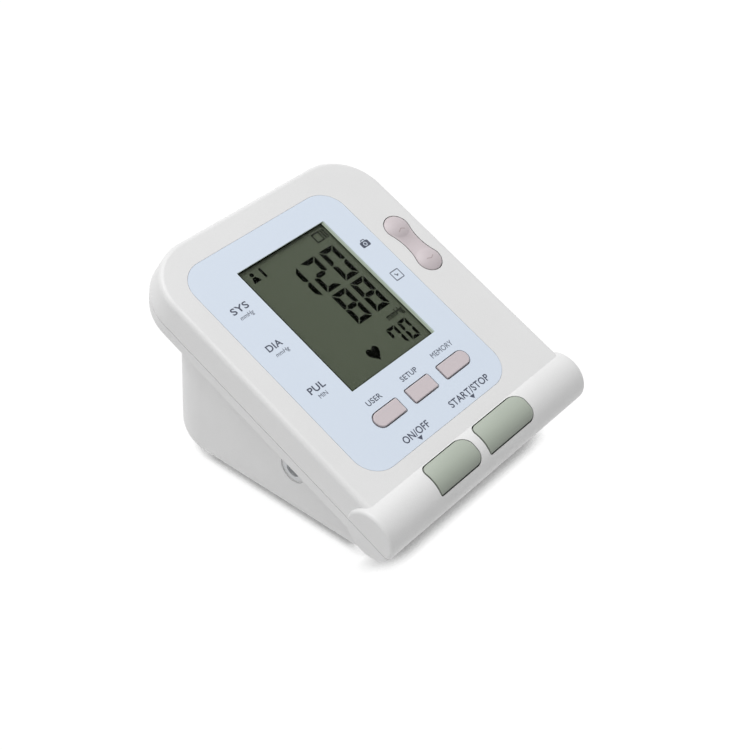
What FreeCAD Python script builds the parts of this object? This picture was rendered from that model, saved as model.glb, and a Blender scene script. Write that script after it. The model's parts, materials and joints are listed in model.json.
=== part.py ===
import FreeCAD, Part
import math
import os
import re
import Sketcher
from FreeCAD import Placement, Rotation, Vector

# A desktop blood pressure monitor. Lengths are millimetres and angles are degrees.
# The case frame has +X to the right, +Y to the back and +Z up, with its origin on the table under
# the middle of the case. The slope frame is the one of the tilted cover: its origin is the middle of
# the front roll's axis, x is the same, v runs up the slope and w stands out of it.

doc = FreeCAD.newDocument("pressure_monitor")
sheet = doc.addObject("Spreadsheet::Sheet", "sheet")

SIZES = (
    # the case
    ("depth", 122, "front of the roll to the back of the case"),
    ("half_width", 53.5, "middle to the side at the seam"),
    ("slope_angle", 26, "tilt of the cover"),
    ("roll_height", 23.7, "axis of the front roll over the table"),
    ("roll_radius", 10, "radius of the front roll"),
    ("roll_half", 53.6, "middle to the end of the roll"),
    ("roll_edge", 1.2, "rounding of the roll's ends"),
    ("reach", 121, "roll axis to the back edge, along the slope"),
    ("plan_corner", 21, "rounding of the back corners of the cover"),
    ("top_level", 8.4, "flat of the cover over the roll axis"),
    ("top_edge", 2, "rounding of the cover's top edge"),
    ("cover_draft", 10.4, "lean of the cover's sides"),
    ("seam_level", -1.4, "lower edge of the cover"),
    ("seam_gap", 0.25, "shadow gap between cover and case"),
    ("rim_level", -7.3, "lower edge of the case's rim"),
    ("rim_draft", 7.7, "lean of the rim's sides"),
    ("wall", 2.2, "wall of both shells"),
    ("case_inset", 5, "side of the cover to the side of the lower case"),
    ("back_lean", 9.5, "lean of the back wall"),
    ("back_corner", 24, "rounding of the upright back corners"),
    ("bottom_edge", 9, "rounding along the bottom"),
    ("nose_reach", 9.4, "front of the roll to the chin of the case"),
    ("nose_rise", 11.4, "bottom of the case to the top of the front wall"),
    ("chin_reach", 14.6, "front of the roll to the lower bend of the front wall"),
    ("chin_rise", 4.2, "bottom of the case to the lower bend"),
    ("floor_reach", 21.2, "front of the roll to the flat bottom"),
    ("foot_height", 2.4, "feet below the case"),
    ("foot_radius", 3.2, "radius of a foot"),
    ("foot_seat", 0.8, "depth of a foot in its pocket"),
    ("foot_beside", 5, "side of the door to the middle of a foot"),
    ("foot_front_reach", 30, "front of the roll to the front feet"),
    ("foot_back_reach", 94, "front of the roll to the back feet"),
    # joining and cutting
    ("lap", 0.5, "how far joined solids reach into each other"),
    ("past", 1, "how far a cut runs past a face"),
    # the screw posts
    ("post_radius", 4, "screw post"),
    ("post_front_inset", 13.5, "side of the cover to a front post"),
    ("post_front_reach", 25, "front of the roll to the front posts"),
    ("post_back_inset", 15.5, "side of the cover to a back post"),
    ("post_back_reach", 101, "front of the roll to the back posts"),
    ("post_front_top", 27, "top of a front post over the table"),
    ("post_back_top", 64, "top of a back post over the table"),
    ("post_shelf", 3, "plastic under the screw head"),
    ("well_radius", 2.8, "well that the screwdriver goes in"),
    ("screw_head_radius", 2.5, "screw head"),
    ("screw_head_height", 2, "screw head"),
    ("slot_width", 0.8, "slots of the screws and of the leak valve"),
    ("screw_radius", 1.35, "screw shank"),
    ("screw_bite", 6.5, "length of the shank in the boss"),
    ("screw_gap", 0.05, "room around and under a screw"),
    ("boss_radius", 3.2, "boss of the cover on a post"),
    # the printed panel and its openings
    ("panel_left", -43, "left edge of the panel"),
    ("panel_right", 31.3, "right edge of the panel"),
    ("panel_low", 11.3, "front edge of the panel"),
    ("panel_high", 109, "back edge of the panel"),
    ("panel_corner", 10, "rounding of the panel"),
    ("panel_thick", 0.8, "thickness of the panel"),
    ("panel_gap", 0.1, "gap around the panel"),
    ("window_left", -24.4, "left edge of the window"),
    ("window_right", 19, "right edge of the window"),
    ("window_low", 39.8, "front edge of the window"),
    ("window_high", 98.1, "back edge of the window"),
    ("window_corner", 0.4, "rounding of the window"),
    ("lens_border", 0.6, "lens beyond the window, under the panel"),
    ("lens_thick", 0.7, "thickness of the lens"),
    ("lens_gap", 0.1, "room around the lens"),
    # the display
    ("glass_drop", 1.6, "face of the display under the cover's top"),
    ("glass_thick", 2.2, "both plates of the display"),
    ("glass_border", 2.6, "display glass beyond the window"),
    ("glass_gap", 0.15, "room around the display glass"),
    ("frame_wall", 1.8, "wall of the display frame"),
    ("frame_floor", 1.4, "plate under the display glass"),
    ("web_gap", 0.3, "display frame to the cover"),
    ("strip_width", 2.4, "contact strip"),
    ("strip_inset", 0.7, "edge of the display glass to a contact strip"),
    ("strip_end", 6, "end of a contact strip to the side of the glass"),
    ("strip_gap", 0.1, "room around a contact strip"),
    # the boards
    ("board_level", -0.5, "top of the main board"),
    ("board_thick", 1.6, "both boards"),
    ("board_left_inset", 7.5, "side of the cover to the main board"),
    ("board_right_inset", 6.5, "side of the cover to the main board at the rocker"),
    ("board_low", 21, "front edge of the main board"),
    ("board_shoulder", 94, "back edge of the main board beside the posts"),
    ("board_high", 104, "back edge of the main board"),
    ("board_neck_inset", 22.5, "side of the cover to the main board between the posts"),
    ("board_corner", 2, "rounding of the main board"),
    ("board_boss_radius", 2.6, "boss that a board is screwed to"),
    ("board_boss_inset", 4.5, "edge of the main board to its bosses"),
    ("board_screw_radius", 0.9, "shank of a board screw"),
    ("board_screw_head", 1.8, "head of a board screw"),
    ("small_head", 1.2, "height of a small screw's head"),
    ("board_screw_bite", 4.5, "length of a board screw in its boss"),
    ("small_board_level", -3, "top of the button board"),
    ("small_board_left", -37, "left end of the button board"),
    ("small_board_right", 34, "right end of the button board"),
    ("small_board_half", 6, "half width of the button board"),
    ("small_boss_left", -33, "left boss of the button board"),
    ("small_boss_right", 30, "right boss of the button board"),
    ("boss_trim", 1.5, "end of a boss under the cover's top"),
    ("ribbon_left", 16.5, "left edge of the ribbon"),
    ("ribbon_width", 9, "ribbon between the boards"),
    ("ribbon_thick", 0.2, "ribbon between the boards"),
    ("ribbon_plug", 5, "ribbon under the main board"),
    # the switches
    ("switch_side", 6, "body of a switch"),
    ("switch_height", 3.5, "body of a switch"),
    ("plunger_radius", 1.7, "plunger of a switch"),
    ("plunger_rise", 1.3, "plunger over the switch body"),
    ("plunger_depth", 1.4, "plunger inside the switch body"),
    ("plunger_room", 0.65, "free depth under the plunger"),
    ("plunger_gap", 0.05, "running gap around a plunger"),
    ("stem_gap", 0.05, "key stem over the plunger"),
    ("stem_radius", 1.5, "stem of a key"),
    # the three small keys
    ("key_low", 23.4, "front edge of the keys"),
    ("key_high", 29.2, "back edge of the keys"),
    ("user_left", -26.6, "user key"),
    ("user_right", -13.6, "user key"),
    ("setup_left", -8.8, "setup key"),
    ("setup_right", 3.1, "setup key"),
    ("memory_left", 8, "memory key"),
    ("memory_right", 21.7, "memory key"),
    ("key_gap", 0.45, "gap around a key"),
    ("key_rise", 0.5, "key over the panel"),
    ("key_round", 2.8, "rounded end of a row"),
    ("key_corner", 0.5, "corner of a key"),
    ("key_edge", 0.35, "rounding of a key's top edge"),
    ("flange_border", 1.1, "flange beyond the key"),
    ("flange_thick", 1.1, "flange of a key"),
    ("flange_gap", 0.1, "flange to the cover"),
    # the rocker
    ("rocker_inset", 12, "side of the cover to the middle of the rocker"),
    ("rocker_v", 72.05, "middle of the rocker"),
    ("lobe_radius", 5, "round ends of the rocker"),
    ("lobe_offset", 8.55, "middle of the rocker to the middle of a round end"),
    ("waist_half", 3.5, "half width of the rocker's waist"),
    ("rocker_gap", 0.35, "gap around the rocker"),
    ("dome_rise", 1.3, "dome of a round end"),
    ("rocker_thick", 3.2, "plate of the rocker"),
    ("pivot_level", 5, "pin of the rocker"),
    ("pivot_radius", 1, "pin of the rocker"),
    ("pivot_gap", 0.05, "running gap of the pin"),
    ("ear_near", 4.3, "middle of the rocker to an ear"),
    ("ear_far", 6.5, "middle of the rocker to the far side of an ear"),
    ("ear_half", 2, "half width of an ear"),
    ("rocker_stem", 7.5, "middle of the rocker to a stem"),
    ("rocker_stem_gap", 0.15, "rocker stem over its plunger"),
    # the two buttons on the roll
    ("button_front", -6.16, "front edge of both buttons"),
    ("button_back", 4.69, "back edge of both buttons"),
    ("power_left", -27.1, "power button"),
    ("power_right", -5.4, "power button"),
    ("start_left", -1, "start button"),
    ("start_right", 24, "start button"),
    ("button_gap", 0.45, "gap around a button"),
    ("button_proud", 0.2, "button over the roll"),
    ("button_small", 2.6, "back left corner of a button"),
    ("button_sharp", 0.4, "front left corner of a button"),
    ("button_large", 4.5, "back right corner of a button"),
    ("button_medium", 3, "front right corner of a button"),
    ("button_foot", 3.3, "bottom of a button's cap"),
    ("button_flange", 1.3, "flange of a button"),
    ("button_border", 0.75, "flange beyond the button"),
    # trim
    ("cap_radius", 7.6, "disc in the end of the roll"),
    ("cap_thick", 0.8, "disc in the end of the roll"),
    ("cap_gap", 0.1, "room around the disc"),
    ("label_length", 25.4, "plate on the right side"),
    ("label_width", 12.6, "plate on the right side"),
    ("label_y", 2.5, "middle of the side plate"),
    ("label_z", 32.3, "middle of the side plate"),
    ("label_thick", 0.4, "side plate"),
    ("label_gap", 0.1, "room around the side plate"),
    # the batteries
    ("cell_radius", 7.25, "AA cell"),
    ("cell_length", 49.5, "AA cell without its button"),
    ("cell_nub_radius", 2.75, "button of an AA cell"),
    ("cell_nub", 1, "button of an AA cell"),
    ("cell_pitch", 15.2, "cell to cell"),
    ("cell_first", -6.3, "first cell"),
    ("cell_count", 4, "cells"),
    ("cell_rise", 1.2, "door to the cells"),
    ("tray_half", 30, "half length of the battery tray"),
    ("tray_wall", 1.5, "wall of the battery tray"),
    ("tray_room", 0.5, "cells to the tray's walls"),
    ("spring_radius", 2.8, "contact spring"),
    ("spring_wire", 0.35, "radius of the contact spring's wire"),
    ("plate_thick", 0.4, "contact plate"),
    ("plate_side", 10, "contact plate"),
    ("door_half", 29, "half length of the battery door"),
    ("door_front", -19, "front edge of the door"),
    ("door_back", 49.8, "back edge of the door"),
    ("door_thick", 2, "battery door"),
    ("door_gap", 0.25, "gap around the door"),
    ("tongue_reach", 2.5, "tongue beyond the door"),
    ("tongue_root", 2.2, "tongue on the door"),
    ("tongue_thick", 0.95, "tongue"),
    ("tongue_half", 4, "half width of a tongue"),
    ("tongue_x", 17, "middle to a tongue"),
    ("grip_half", 6, "half width of the finger grip"),
    ("grip_depth", 0.7, "grooves of the finger grip"),
    ("grip_pitch", 2, "grooves of the finger grip"),
    ("grip_inset", 2, "door's edge to the finger grip"),
    # the air path
    ("socket_y", -12.1, "air socket"),
    ("socket_z", 26.4, "air socket"),
    ("socket_radius", 4.45, "ring of the air socket"),
    ("socket_bore", 2.9, "bore that the air plug goes in"),
    ("socket_depth", 7, "depth of that bore"),
    ("socket_inset", 0.2, "face of the ring under the case's side"),
    ("socket_flange", 6.2, "flange inside the wall"),
    ("socket_flange_thick", 1.5, "flange inside the wall"),
    ("socket_length", 9.2, "air socket without its barb"),
    ("recess_radius", 5.5, "recess around both sockets"),
    ("recess_depth", 0.6, "recess around the air socket"),
    ("barb_radius", 1.55, "hose barbs"),
    ("barb_length", 4.5, "hose barbs"),
    ("air_hole", 0.7, "air holes"),
    ("tube_radius", 2.6, "silicone tube, outside"),
    ("tube_bore", 1.6, "silicone tube, inside"),
    ("hose_run", 10, "straight start of a tube at its barb"),
    ("manifold_inset", 23.5, "side of the cover to the manifold"),
    ("manifold_length", 15, "manifold"),
    ("manifold_half", 4.1, "half width of the manifold"),
    ("sensor_port", 3, "left side of the manifold to its sensor port"),
    ("pump_port", 11, "left side of the manifold to its pump port"),
    ("leak_port", 7, "left side of the manifold to the slow leak valve"),
    ("leak_radius", 3.4, "slow leak valve"),
    ("leak_height", 6, "slow leak valve"),
    ("sensor_v", 60, "pressure sensor"),
    ("sensor_side", 8, "pressure sensor"),
    ("sensor_height", 5.9, "pressure sensor"),
    ("valve_left", 5, "solenoid valve"),
    ("valve_length", 20, "solenoid valve"),
    ("valve_side", 13, "solenoid valve"),
    ("valve_y", -8.8, "solenoid valve"),
    ("valve_end", 2, "end plates of the valve"),
    ("coil_radius", 5.3, "coil of the valve"),
    ("coil_inner", 2.4, "bore of the coil"),
    ("coil_end", 1, "room at the ends of the coil"),
    ("core_radius", 2, "plunger of the valve"),
    ("core_gap", 0.05, "running gap of the plunger"),
    ("core_stroke", 0.8, "stroke of the plunger"),
    ("core_seat_gap", 0.1, "plunger to its seat at the end of the stroke"),
    ("core_out", 2.2, "plunger out of the valve"),
    ("core_head_radius", 3.2, "head of the plunger"),
    ("core_head", 1, "head of the plunger"),
    ("core_head_lap", 0.2, "collar under the plunger's head"),
    ("core_spring_radius", 2.55, "return spring of the plunger"),
    ("core_spring_wire", 0.15, "radius of the return spring's wire"),
    # the pump
    ("pump_y", 33, "axis of the pump"),
    ("pump_z", 38.2, "axis of the pump"),
    ("motor_radius", 12.2, "can of the motor"),
    ("motor_inner", 9.4, "inside of the can"),
    ("motor_length", 30, "can of the motor"),
    ("motor_end", 2.2, "ends of the can"),
    ("rotor_radius", 8.6, "armature"),
    ("rotor_slot", 3, "depth of the armature's slots"),
    ("rotor_gap", 1, "armature to the ends of the can"),
    ("shaft_radius", 1, "shaft of the motor"),
    ("shaft_gap", 0.05, "running gap of the shaft"),
    ("crank_length", 12, "crank case of the pump"),
    ("crank_wall", 1.8, "wall of the crank case"),
    ("pump_radius", 13.3, "head of the pump"),
    ("cam_radius", 2.4, "eccentric on the shaft"),
    ("cam_offset", 0.9, "throw of the eccentric"),
    ("cam_start", 3, "motor to the eccentric"),
    ("cam_length", 5, "eccentric"),
    ("yoke_radius", 9.6, "rocking plate of the pump"),
    ("yoke_start", 4, "motor to the rocking plate"),
    ("yoke_length", 3, "rocking plate"),
    ("yoke_bore", 3.6, "bore of the rocking plate around the eccentric"),
    ("yoke_leg", 1.8, "legs of the rocking plate"),
    ("yoke_leg_orbit", 6.6, "legs of the rocking plate"),
    ("membrane_thick", 1.5, "rubber membrane"),
    ("head_length", 8, "valve head of the pump"),
    ("pump_screw_radius", 1, "long screws of the pump"),
    ("pump_screw_head", 1.4, "long screws of the pump"),
    ("pump_screw_orbit", 11.9, "long screws of the pump"),
    ("sleeve_thick", 2.2, "foam sleeve of the motor"),
    ("sleeve_left", 4, "end of the motor to the sleeve"),
    ("sleeve_length", 20, "foam sleeve of the motor"),
    ("cradle_half", 9, "half width of the pump cradle"),
    ("cradle_thick", 3, "ribs of the pump cradle"),
    # the mains inlet
    ("jack_y", -3.9, "mains inlet"),
    ("jack_z", 29.4, "mains inlet"),
    ("jack_ring", 4.25, "ring of the inlet"),
    ("jack_bore", 2.75, "bore of the inlet"),
    ("jack_pin", 1.05, "centre pin of the inlet"),
    ("jack_pin_length", 8, "free length of the centre pin"),
    ("jack_pin_root", 2, "root of the centre pin, in the housing"),
    ("jack_root", 1.6, "radius of that root"),
    ("jack_pin_inset", 0.8, "tip of the centre pin in the ring"),
    ("jack_shoulder", 0.1, "housing to the case's wall"),
    ("jack_inset", 0.2, "ring under the case's side"),
    ("jack_body_length", 11, "housing of the inlet"),
    ("jack_body_side", 9, "housing of the inlet"),
    ("shelf_thick", 2, "shelf under the inlet"),
    # parts under the main board
    ("buzzer_radius", 6, "buzzer"),
    ("buzzer_height", 4, "buzzer"),
    ("buzzer_hole", 1, "sound hole of the buzzer"),
    ("buzzer_x", 20, "buzzer"),
    ("buzzer_v", 80, "buzzer"),
    ("capacitor_radius", 4, "capacitor"),
    ("capacitor_height", 9, "capacitor"),
    ("capacitor_inset", 13, "right edge of the main board to the capacitor"),
    ("capacitor_v", 50, "capacitor"),
    # the chips on the main board
    ("processor_x", -12, "processor"),
    ("processor_v", 60, "processor"),
    ("processor_side", 14, "processor"),
    ("memory_x", 6, "memory chip"),
    ("memory_v", 58, "memory chip"),
    ("driver_x", -6, "pump driver chip"),
    ("driver_v", 34, "pump driver chip"),
    ("amplifier_x", -38, "amplifier chip"),
    ("amplifier_v", 36, "amplifier chip"),
    ("chip_side", 7, "small chips"),
    ("chip_thick", 1.4, "all chips"),
)
ALIASES = {name for name, value, note in SIZES}

for row, (alias, value, note) in enumerate(SIZES, 1):
    sheet.set(f"A{row}", alias)
    sheet.set(f"B{row}", str(value))
    sheet.set(f"C{row}", note)
    sheet.setAlias(f"B{row}", alias)
doc.recompute()

# Places that several pieces share, worked out from the sizes.
ROLL_Y = "(roll_radius - depth / 2)"
FRONT = "(-depth / 2)"
BOTTOM = "foot_height"
FLOOR = "(foot_height + wall)"
ROOF = "(top_level - wall)"
PANEL_SEAT = "(top_level - panel_thick)"
GLASS_TOP = "(top_level - glass_drop)"
GLASS_BOTTOM = f"({GLASS_TOP} - glass_thick)"
BOARD_UNDER = "(board_level - board_thick)"
SWITCH_TOP = "(board_level + switch_height)"
PLUNGER_TOP = f"({SWITCH_TOP} + plunger_rise)"
SMALL_SWITCH_TOP = "(small_board_level + switch_height)"
SMALL_PLUNGER_TOP = f"({SMALL_SWITCH_TOP} + plunger_rise)"
KEY_V = "((key_low + key_high) / 2)"
BUTTON_V = "((button_front + button_back) / 2)"
FLANGE_TOP = f"({ROOF} - flange_gap)"
FLANGE_BOTTOM = f"({FLANGE_TOP} - flange_thick)"
LIP = "(glass_border + glass_gap + frame_wall)"
DOOR_TOP = f"({BOTTOM} + door_thick)"
CELL_Z = f"({DOOR_TOP} + cell_rise + cell_radius)"
TRAY_FRONT = "(cell_first - cell_radius - tray_room - tray_wall)"
TRAY_BACK = "(cell_first + (cell_count - 1) * cell_pitch + cell_radius + tray_room + tray_wall)"
TRAY_TOP = f"({CELL_Z} + cell_radius + tray_room + tray_wall)"
CRANK_LEFT = "(-crank_length)"
HEAD_RIGHT = f"({CRANK_LEFT} - membrane_thick)"
HEAD_LEFT = f"({HEAD_RIGHT} - head_length)"
HEAD_MIDDLE = f"(({HEAD_LEFT} + {HEAD_RIGHT}) / 2)"
MANIFOLD_TOP = f"(socket_z + (socket_z - {TRAY_TOP}))"
VALVE_Z = f"({TRAY_TOP} + valve_side / 2)"
VALVE_RIGHT = "(valve_left + valve_length)"
SIDE_FACE = "(case_half - socket_inset)"

# Places that follow the outside of the case, named in expressions as a size is.
PLACES = {
    "case_half": "(half_width - case_inset)",
    "foot_x": "(door_half + foot_beside)",
    "foot_front_y": "(foot_front_reach - depth / 2)",
    "foot_back_y": "(foot_back_reach - depth / 2)",
    "post_front_x": "(half_width - post_front_inset)",
    "post_front_y": "(post_front_reach - depth / 2)",
    "post_back_x": "(half_width - post_back_inset)",
    "post_back_y": "(post_back_reach - depth / 2)",
    "board_left": "(board_left_inset - half_width)",
    "board_right": "(half_width - board_right_inset)",
    "board_neck": "(half_width - board_neck_inset)",
    "rocker_x": "(half_width - rocker_inset)",
    "capacitor_x": "(board_right - capacitor_inset)",
    "manifold_left": "(manifold_inset - half_width)",
    "manifold_right": "(manifold_left + manifold_length)",
    "sensor_port_x": "(manifold_left + sensor_port)",
    "pump_port_x": "(manifold_left + pump_port)",
    "leak_port_x": "(manifold_left + leak_port)",
}

PANEL = (("panel_left", "panel_right"), ("panel_low", "panel_high"))
WINDOW = (("window_left", "window_right"), ("window_low", "window_high"))

SPRING_TURNS = 5
CORE_TURNS = 2
CASE, SLOPE = "case", "slope"
NODES = []


def cell(word):
    """What a word of an expression stands for in the sheet."""
    if word in PLACES:
        return bound(PLACES[word])
    return "sheet." + word if word in ALIASES else word


def bound(text):
    """An expression of the sheet: each size's name becomes its cell."""
    return re.sub(r"[a-z][a-z_]*", lambda found: cell(found[0]), str(text))


def number(text):
    """The value of an expression at the present sizes."""
    result = sheet.evalExpression(bound(text))
    return float(getattr(result, "Value", result))


def bind(item, **sizes):
    """Ties properties of an object to the sheet."""
    for name, text in sizes.items():
        item.setExpression(name, bound(text))
    return item


def spot(at, frame):
    """The case coordinates, as expressions, of a point of a frame."""
    x, y, z = at
    if frame == CASE:
        return x, y, z
    tilt = "slope_angle * 1 deg"
    along = f"{ROLL_Y} + ({y}) * cos({tilt}) - ({z}) * sin({tilt})"
    return x, along, f"roll_height + ({y}) * sin({tilt}) + ({z}) * cos({tilt})"


def settle(item, at, frame=CASE, axis="z"):
    """Places an object at a point of its frame, with its own Z along the named axis of that frame."""
    if axis == "x":
        item.Placement = Placement(Vector(), Rotation(Vector(0, 1, 0), 90))
    else:
        turn = "0" if frame == CASE else "slope_angle"
        if axis == "y":
            turn += " - 90"
        item.Placement = Placement(Vector(), Rotation(Vector(1, 0, 0), number(turn) or 1))
        item.setExpression(".Placement.Rotation.Angle", bound(turn))
    for letter, text in zip("xyz", spot(at, frame)):
        item.setExpression(f".Placement.Base.{letter}", bound(text))
    return item


def block(name, x, y, z, frame=CASE):
    """A box between a low and a high value on each axis of its frame."""
    item = doc.addObject("Part::Box", name)
    bind(item, Length=f"({x[1]}) - ({x[0]})", Width=f"({y[1]}) - ({y[0]})", Height=f"({z[1]}) - ({z[0]})")
    return settle(item, (x[0], y[0], z[0]), frame)


def rod(name, at, radius, length, axis="z", frame=CASE):
    """A cylinder that starts at a point and runs along an axis of its frame."""
    item = doc.addObject("Part::Cylinder", name)
    bind(item, Radius=radius, Height=length)
    return settle(item, at, frame, axis)


def fuse(name, parts):
    """One solid made of overlapping or touching parts."""
    item = doc.addObject("Part::MultiFuse", name)
    item.Shapes = parts
    return item


def cut(name, base, tools):
    """The base without its tools."""
    item = doc.addObject("Part::Cut", name)
    item.Base = base
    item.Tool = tools[0] if len(tools) == 1 else fuse(name + "_tools", tools)
    return item


def common(name, base, tool):
    """What both objects share."""
    item = doc.addObject("Part::Common", name)
    item.Base = base
    item.Tool = tool
    return item


def group(name, parts):
    """Separate solids of one kind, kept together."""
    item = doc.addObject("Part::Compound", name)
    item.Links = parts
    return item


def tube(name, at, outer, inner, length, axis="z", frame=CASE):
    """A cylinder with a bore right through."""
    return cut(name, rod(name + "_wall", at, outer, length, axis, frame),
               [rod(name + "_bore", at, inner, length, axis, frame)])


def node(item, label):
    """Marks an object as a finished sub-part and names it."""
    item.Label = label
    NODES.append(item)
    return item


def origin_plane(body, role):
    """One of a body's own origin planes."""
    return next(item for item in body.Origin.OriginFeatures if item.Role == role)


def outline(body, name, corners, plane="XY_Plane", level=None):
    """A closed sketch through corners given as (x, y, rounding), each tied to the sheet."""
    sketch = body.newObject("Sketcher::SketchObject", name)
    sketch.AttachmentSupport = [(origin_plane(body, plane), "")]
    sketch.MapMode = "FlatFace"
    if level is not None:
        sketch.setExpression(".AttachmentOffset.Base.z", bound(level))
    count = len(corners)
    points = [Vector(number(x), number(y), 0) for x, y, rounding in corners]
    radii = [number(rounding) for x, y, rounding in corners]
    starts, ends, middles = [], [], []
    for i, point in enumerate(points):
        back = (points[i - 1] - point).normalize()
        ahead = (points[(i + 1) % count] - point).normalize()
        half = math.acos(max(-1, min(1, back.dot(ahead)))) / 2
        run = radii[i] / math.tan(half)
        starts.append(point + back * run)
        ends.append(point + ahead * run)
        middles.append(point + (back + ahead).normalize() * (radii[i] / math.sin(half)))
    lines = [sketch.addGeometry(Part.LineSegment(ends[i], starts[(i + 1) % count]), False)
             for i in range(count)]
    for i, (x, y, rounding) in enumerate(corners):
        before = lines[i - 1]
        mark = sketch.addGeometry(Part.Point(points[i]), True)
        sketch.addConstraint(Sketcher.Constraint("PointOnObject", mark, 1, before))
        sketch.addConstraint(Sketcher.Constraint("PointOnObject", mark, 1, lines[i]))
        across = sketch.addConstraint(Sketcher.Constraint("DistanceX", -1, 1, mark, 1, points[i].x))
        sketch.setExpression(f"Constraints[{across}]", bound(x))
        up = sketch.addConstraint(Sketcher.Constraint("DistanceY", -1, 1, mark, 1, points[i].y))
        sketch.setExpression(f"Constraints[{up}]", bound(y))
        if radii[i] == 0:
            sketch.addConstraint(Sketcher.Constraint("Coincident", before, 2, lines[i], 1))
            continue
        first = starts[i] - middles[i]
        last = ends[i] - middles[i]
        left = first.cross(last).z > 0
        opening, closing = (first, last) if left else (last, first)
        angles = [math.atan2(v.y, v.x) for v in (opening, closing)]
        circle = Part.Circle(middles[i], Vector(0, 0, 1), radii[i])
        arc = sketch.addGeometry(Part.ArcOfCircle(circle, *angles), False)
        near, far = (1, 2) if left else (2, 1)
        sketch.addConstraint(Sketcher.Constraint("Tangent", before, 2, arc, near))
        sketch.addConstraint(Sketcher.Constraint("Tangent", arc, far, lines[i], 1))
        bend = sketch.addConstraint(Sketcher.Constraint("Radius", arc, radii[i]))
        sketch.setExpression(f"Constraints[{bend}]", bound(rounding))
    return sketch


def round_edges(body, base, radius, keep):
    """Rounds the edges of a body's last feature that pass a test."""
    doc.recompute()
    edges = [f"Edge{i}" for i, edge in enumerate(base.Shape.Edges, 1) if keep(edge)]
    item = body.newObject("PartDesign::Fillet", "rounding")
    item.Base = (base, edges)
    bind(item, Radius=radius)
    return item


def prism(name, corners, low, high, frame=SLOPE, draft=None, edge=None, keep=None):
    """A body with a rounded outline, between two levels of its frame."""
    body = doc.addObject("PartDesign::Body", name)
    settle(body, ("0", "0", "0"), frame)
    pad = body.newObject("PartDesign::Pad", "pad")
    pad.Profile = outline(body, "outline", corners, level=low)
    bind(pad, Length=f"({high}) - ({low})")
    if draft is not None:
        bind(pad, TaperAngle=f"-({draft})")
    if edge is not None:
        top = number(high)
        keep = keep or (lambda edge: True)
        round_edges(body, pad, edge,
                    lambda e: all(abs(v.Z - top) < 1e-4 for v in e.Vertexes) and keep(e))
    return body


def rectangle(x, y, corner, border="0"):
    """The corners of a rectangle, grown by a border, with one rounding or four."""
    corners = corner if isinstance(corner, tuple) else (corner,) * 4
    left, right = f"{x[0]} - ({border})", f"{x[1]} + ({border})"
    low, high = f"{y[0]} - ({border})", f"{y[1]} + ({border})"
    places = ((left, low), (right, low), (right, high), (left, high))
    return [(a, b, f"{r} + ({border})") for (a, b), r in zip(places, corners)]


def helix(name, at, radius, wire, length, turns):
    """A wound spring from a point along the case's X axis."""
    item = doc.addObject("Part::Feature", name)
    r, t, span = number(radius), number(wire), number(length)
    path = Part.makeHelix((span - 2 * t) / turns, span - 2 * t, r)
    ring = Part.Wire(Part.Circle(Vector(r, 0, 0), Vector(0, 1, 0), t).toShape())
    item.Shape = path.makePipeShell([ring], True, True)
    x, y, z = (number(text) for text in at)
    item.Placement = Placement(Vector(x + t, y, z), Rotation(Vector(0, 1, 0), 90))
    return item


# ---------------------------------------------------------------- shells


def roll(name, inset="0"):
    """The front roll with rounded ends, or its inside when it is inset."""
    body = doc.addObject("PartDesign::Body", name)
    settle(body, ("0", "0", "0"), SLOPE)
    half = f"roll_half - ({inset})"
    edge = "roll_edge" if inset == "0" else "0"
    corners = [(f"-({half})", "0", "0"), (half, "0", "0"),
               (half, f"roll_radius - ({inset})", edge), (f"-({half})", f"roll_radius - ({inset})", edge)]
    sketch = outline(body, "section", corners)
    turn = body.newObject("PartDesign::Revolution", "turn")
    turn.Profile = sketch
    turn.ReferenceAxis = (sketch, ["H_Axis"])
    turn.Angle = 360
    return body


def plan(inset="0"):
    """The plan of the cover and of the rim under it."""
    half = f"half_width - ({inset})"
    back = f"reach - ({inset})"
    round_back = f"plan_corner - ({inset})"
    left = f"-({half})"
    return [(left, "0", "0"), (half, "0", "0"), (half, back, round_back), (left, back, round_back)]


def key_corners(left, right, border="0", first="key_corner", last="key_corner"):
    """The outline of a small key, grown by a border."""
    return rectangle((left, right), ("key_low", "key_high"), (first, last, last, first), border)


def keys(border):
    """The outlines of the three keys."""
    return (key_corners("user_left", "user_right", border, first="key_round"),
            key_corners("setup_left", "setup_right", border),
            key_corners("memory_left", "memory_right", border, last="key_round"))


def button_corners(left, right, border="0"):
    """The outline of a button on the roll, grown by a border."""
    corners = ("button_sharp", "button_medium", "button_large", "button_small")
    return rectangle((left, right), ("button_front", "button_back"), corners, border)


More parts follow.
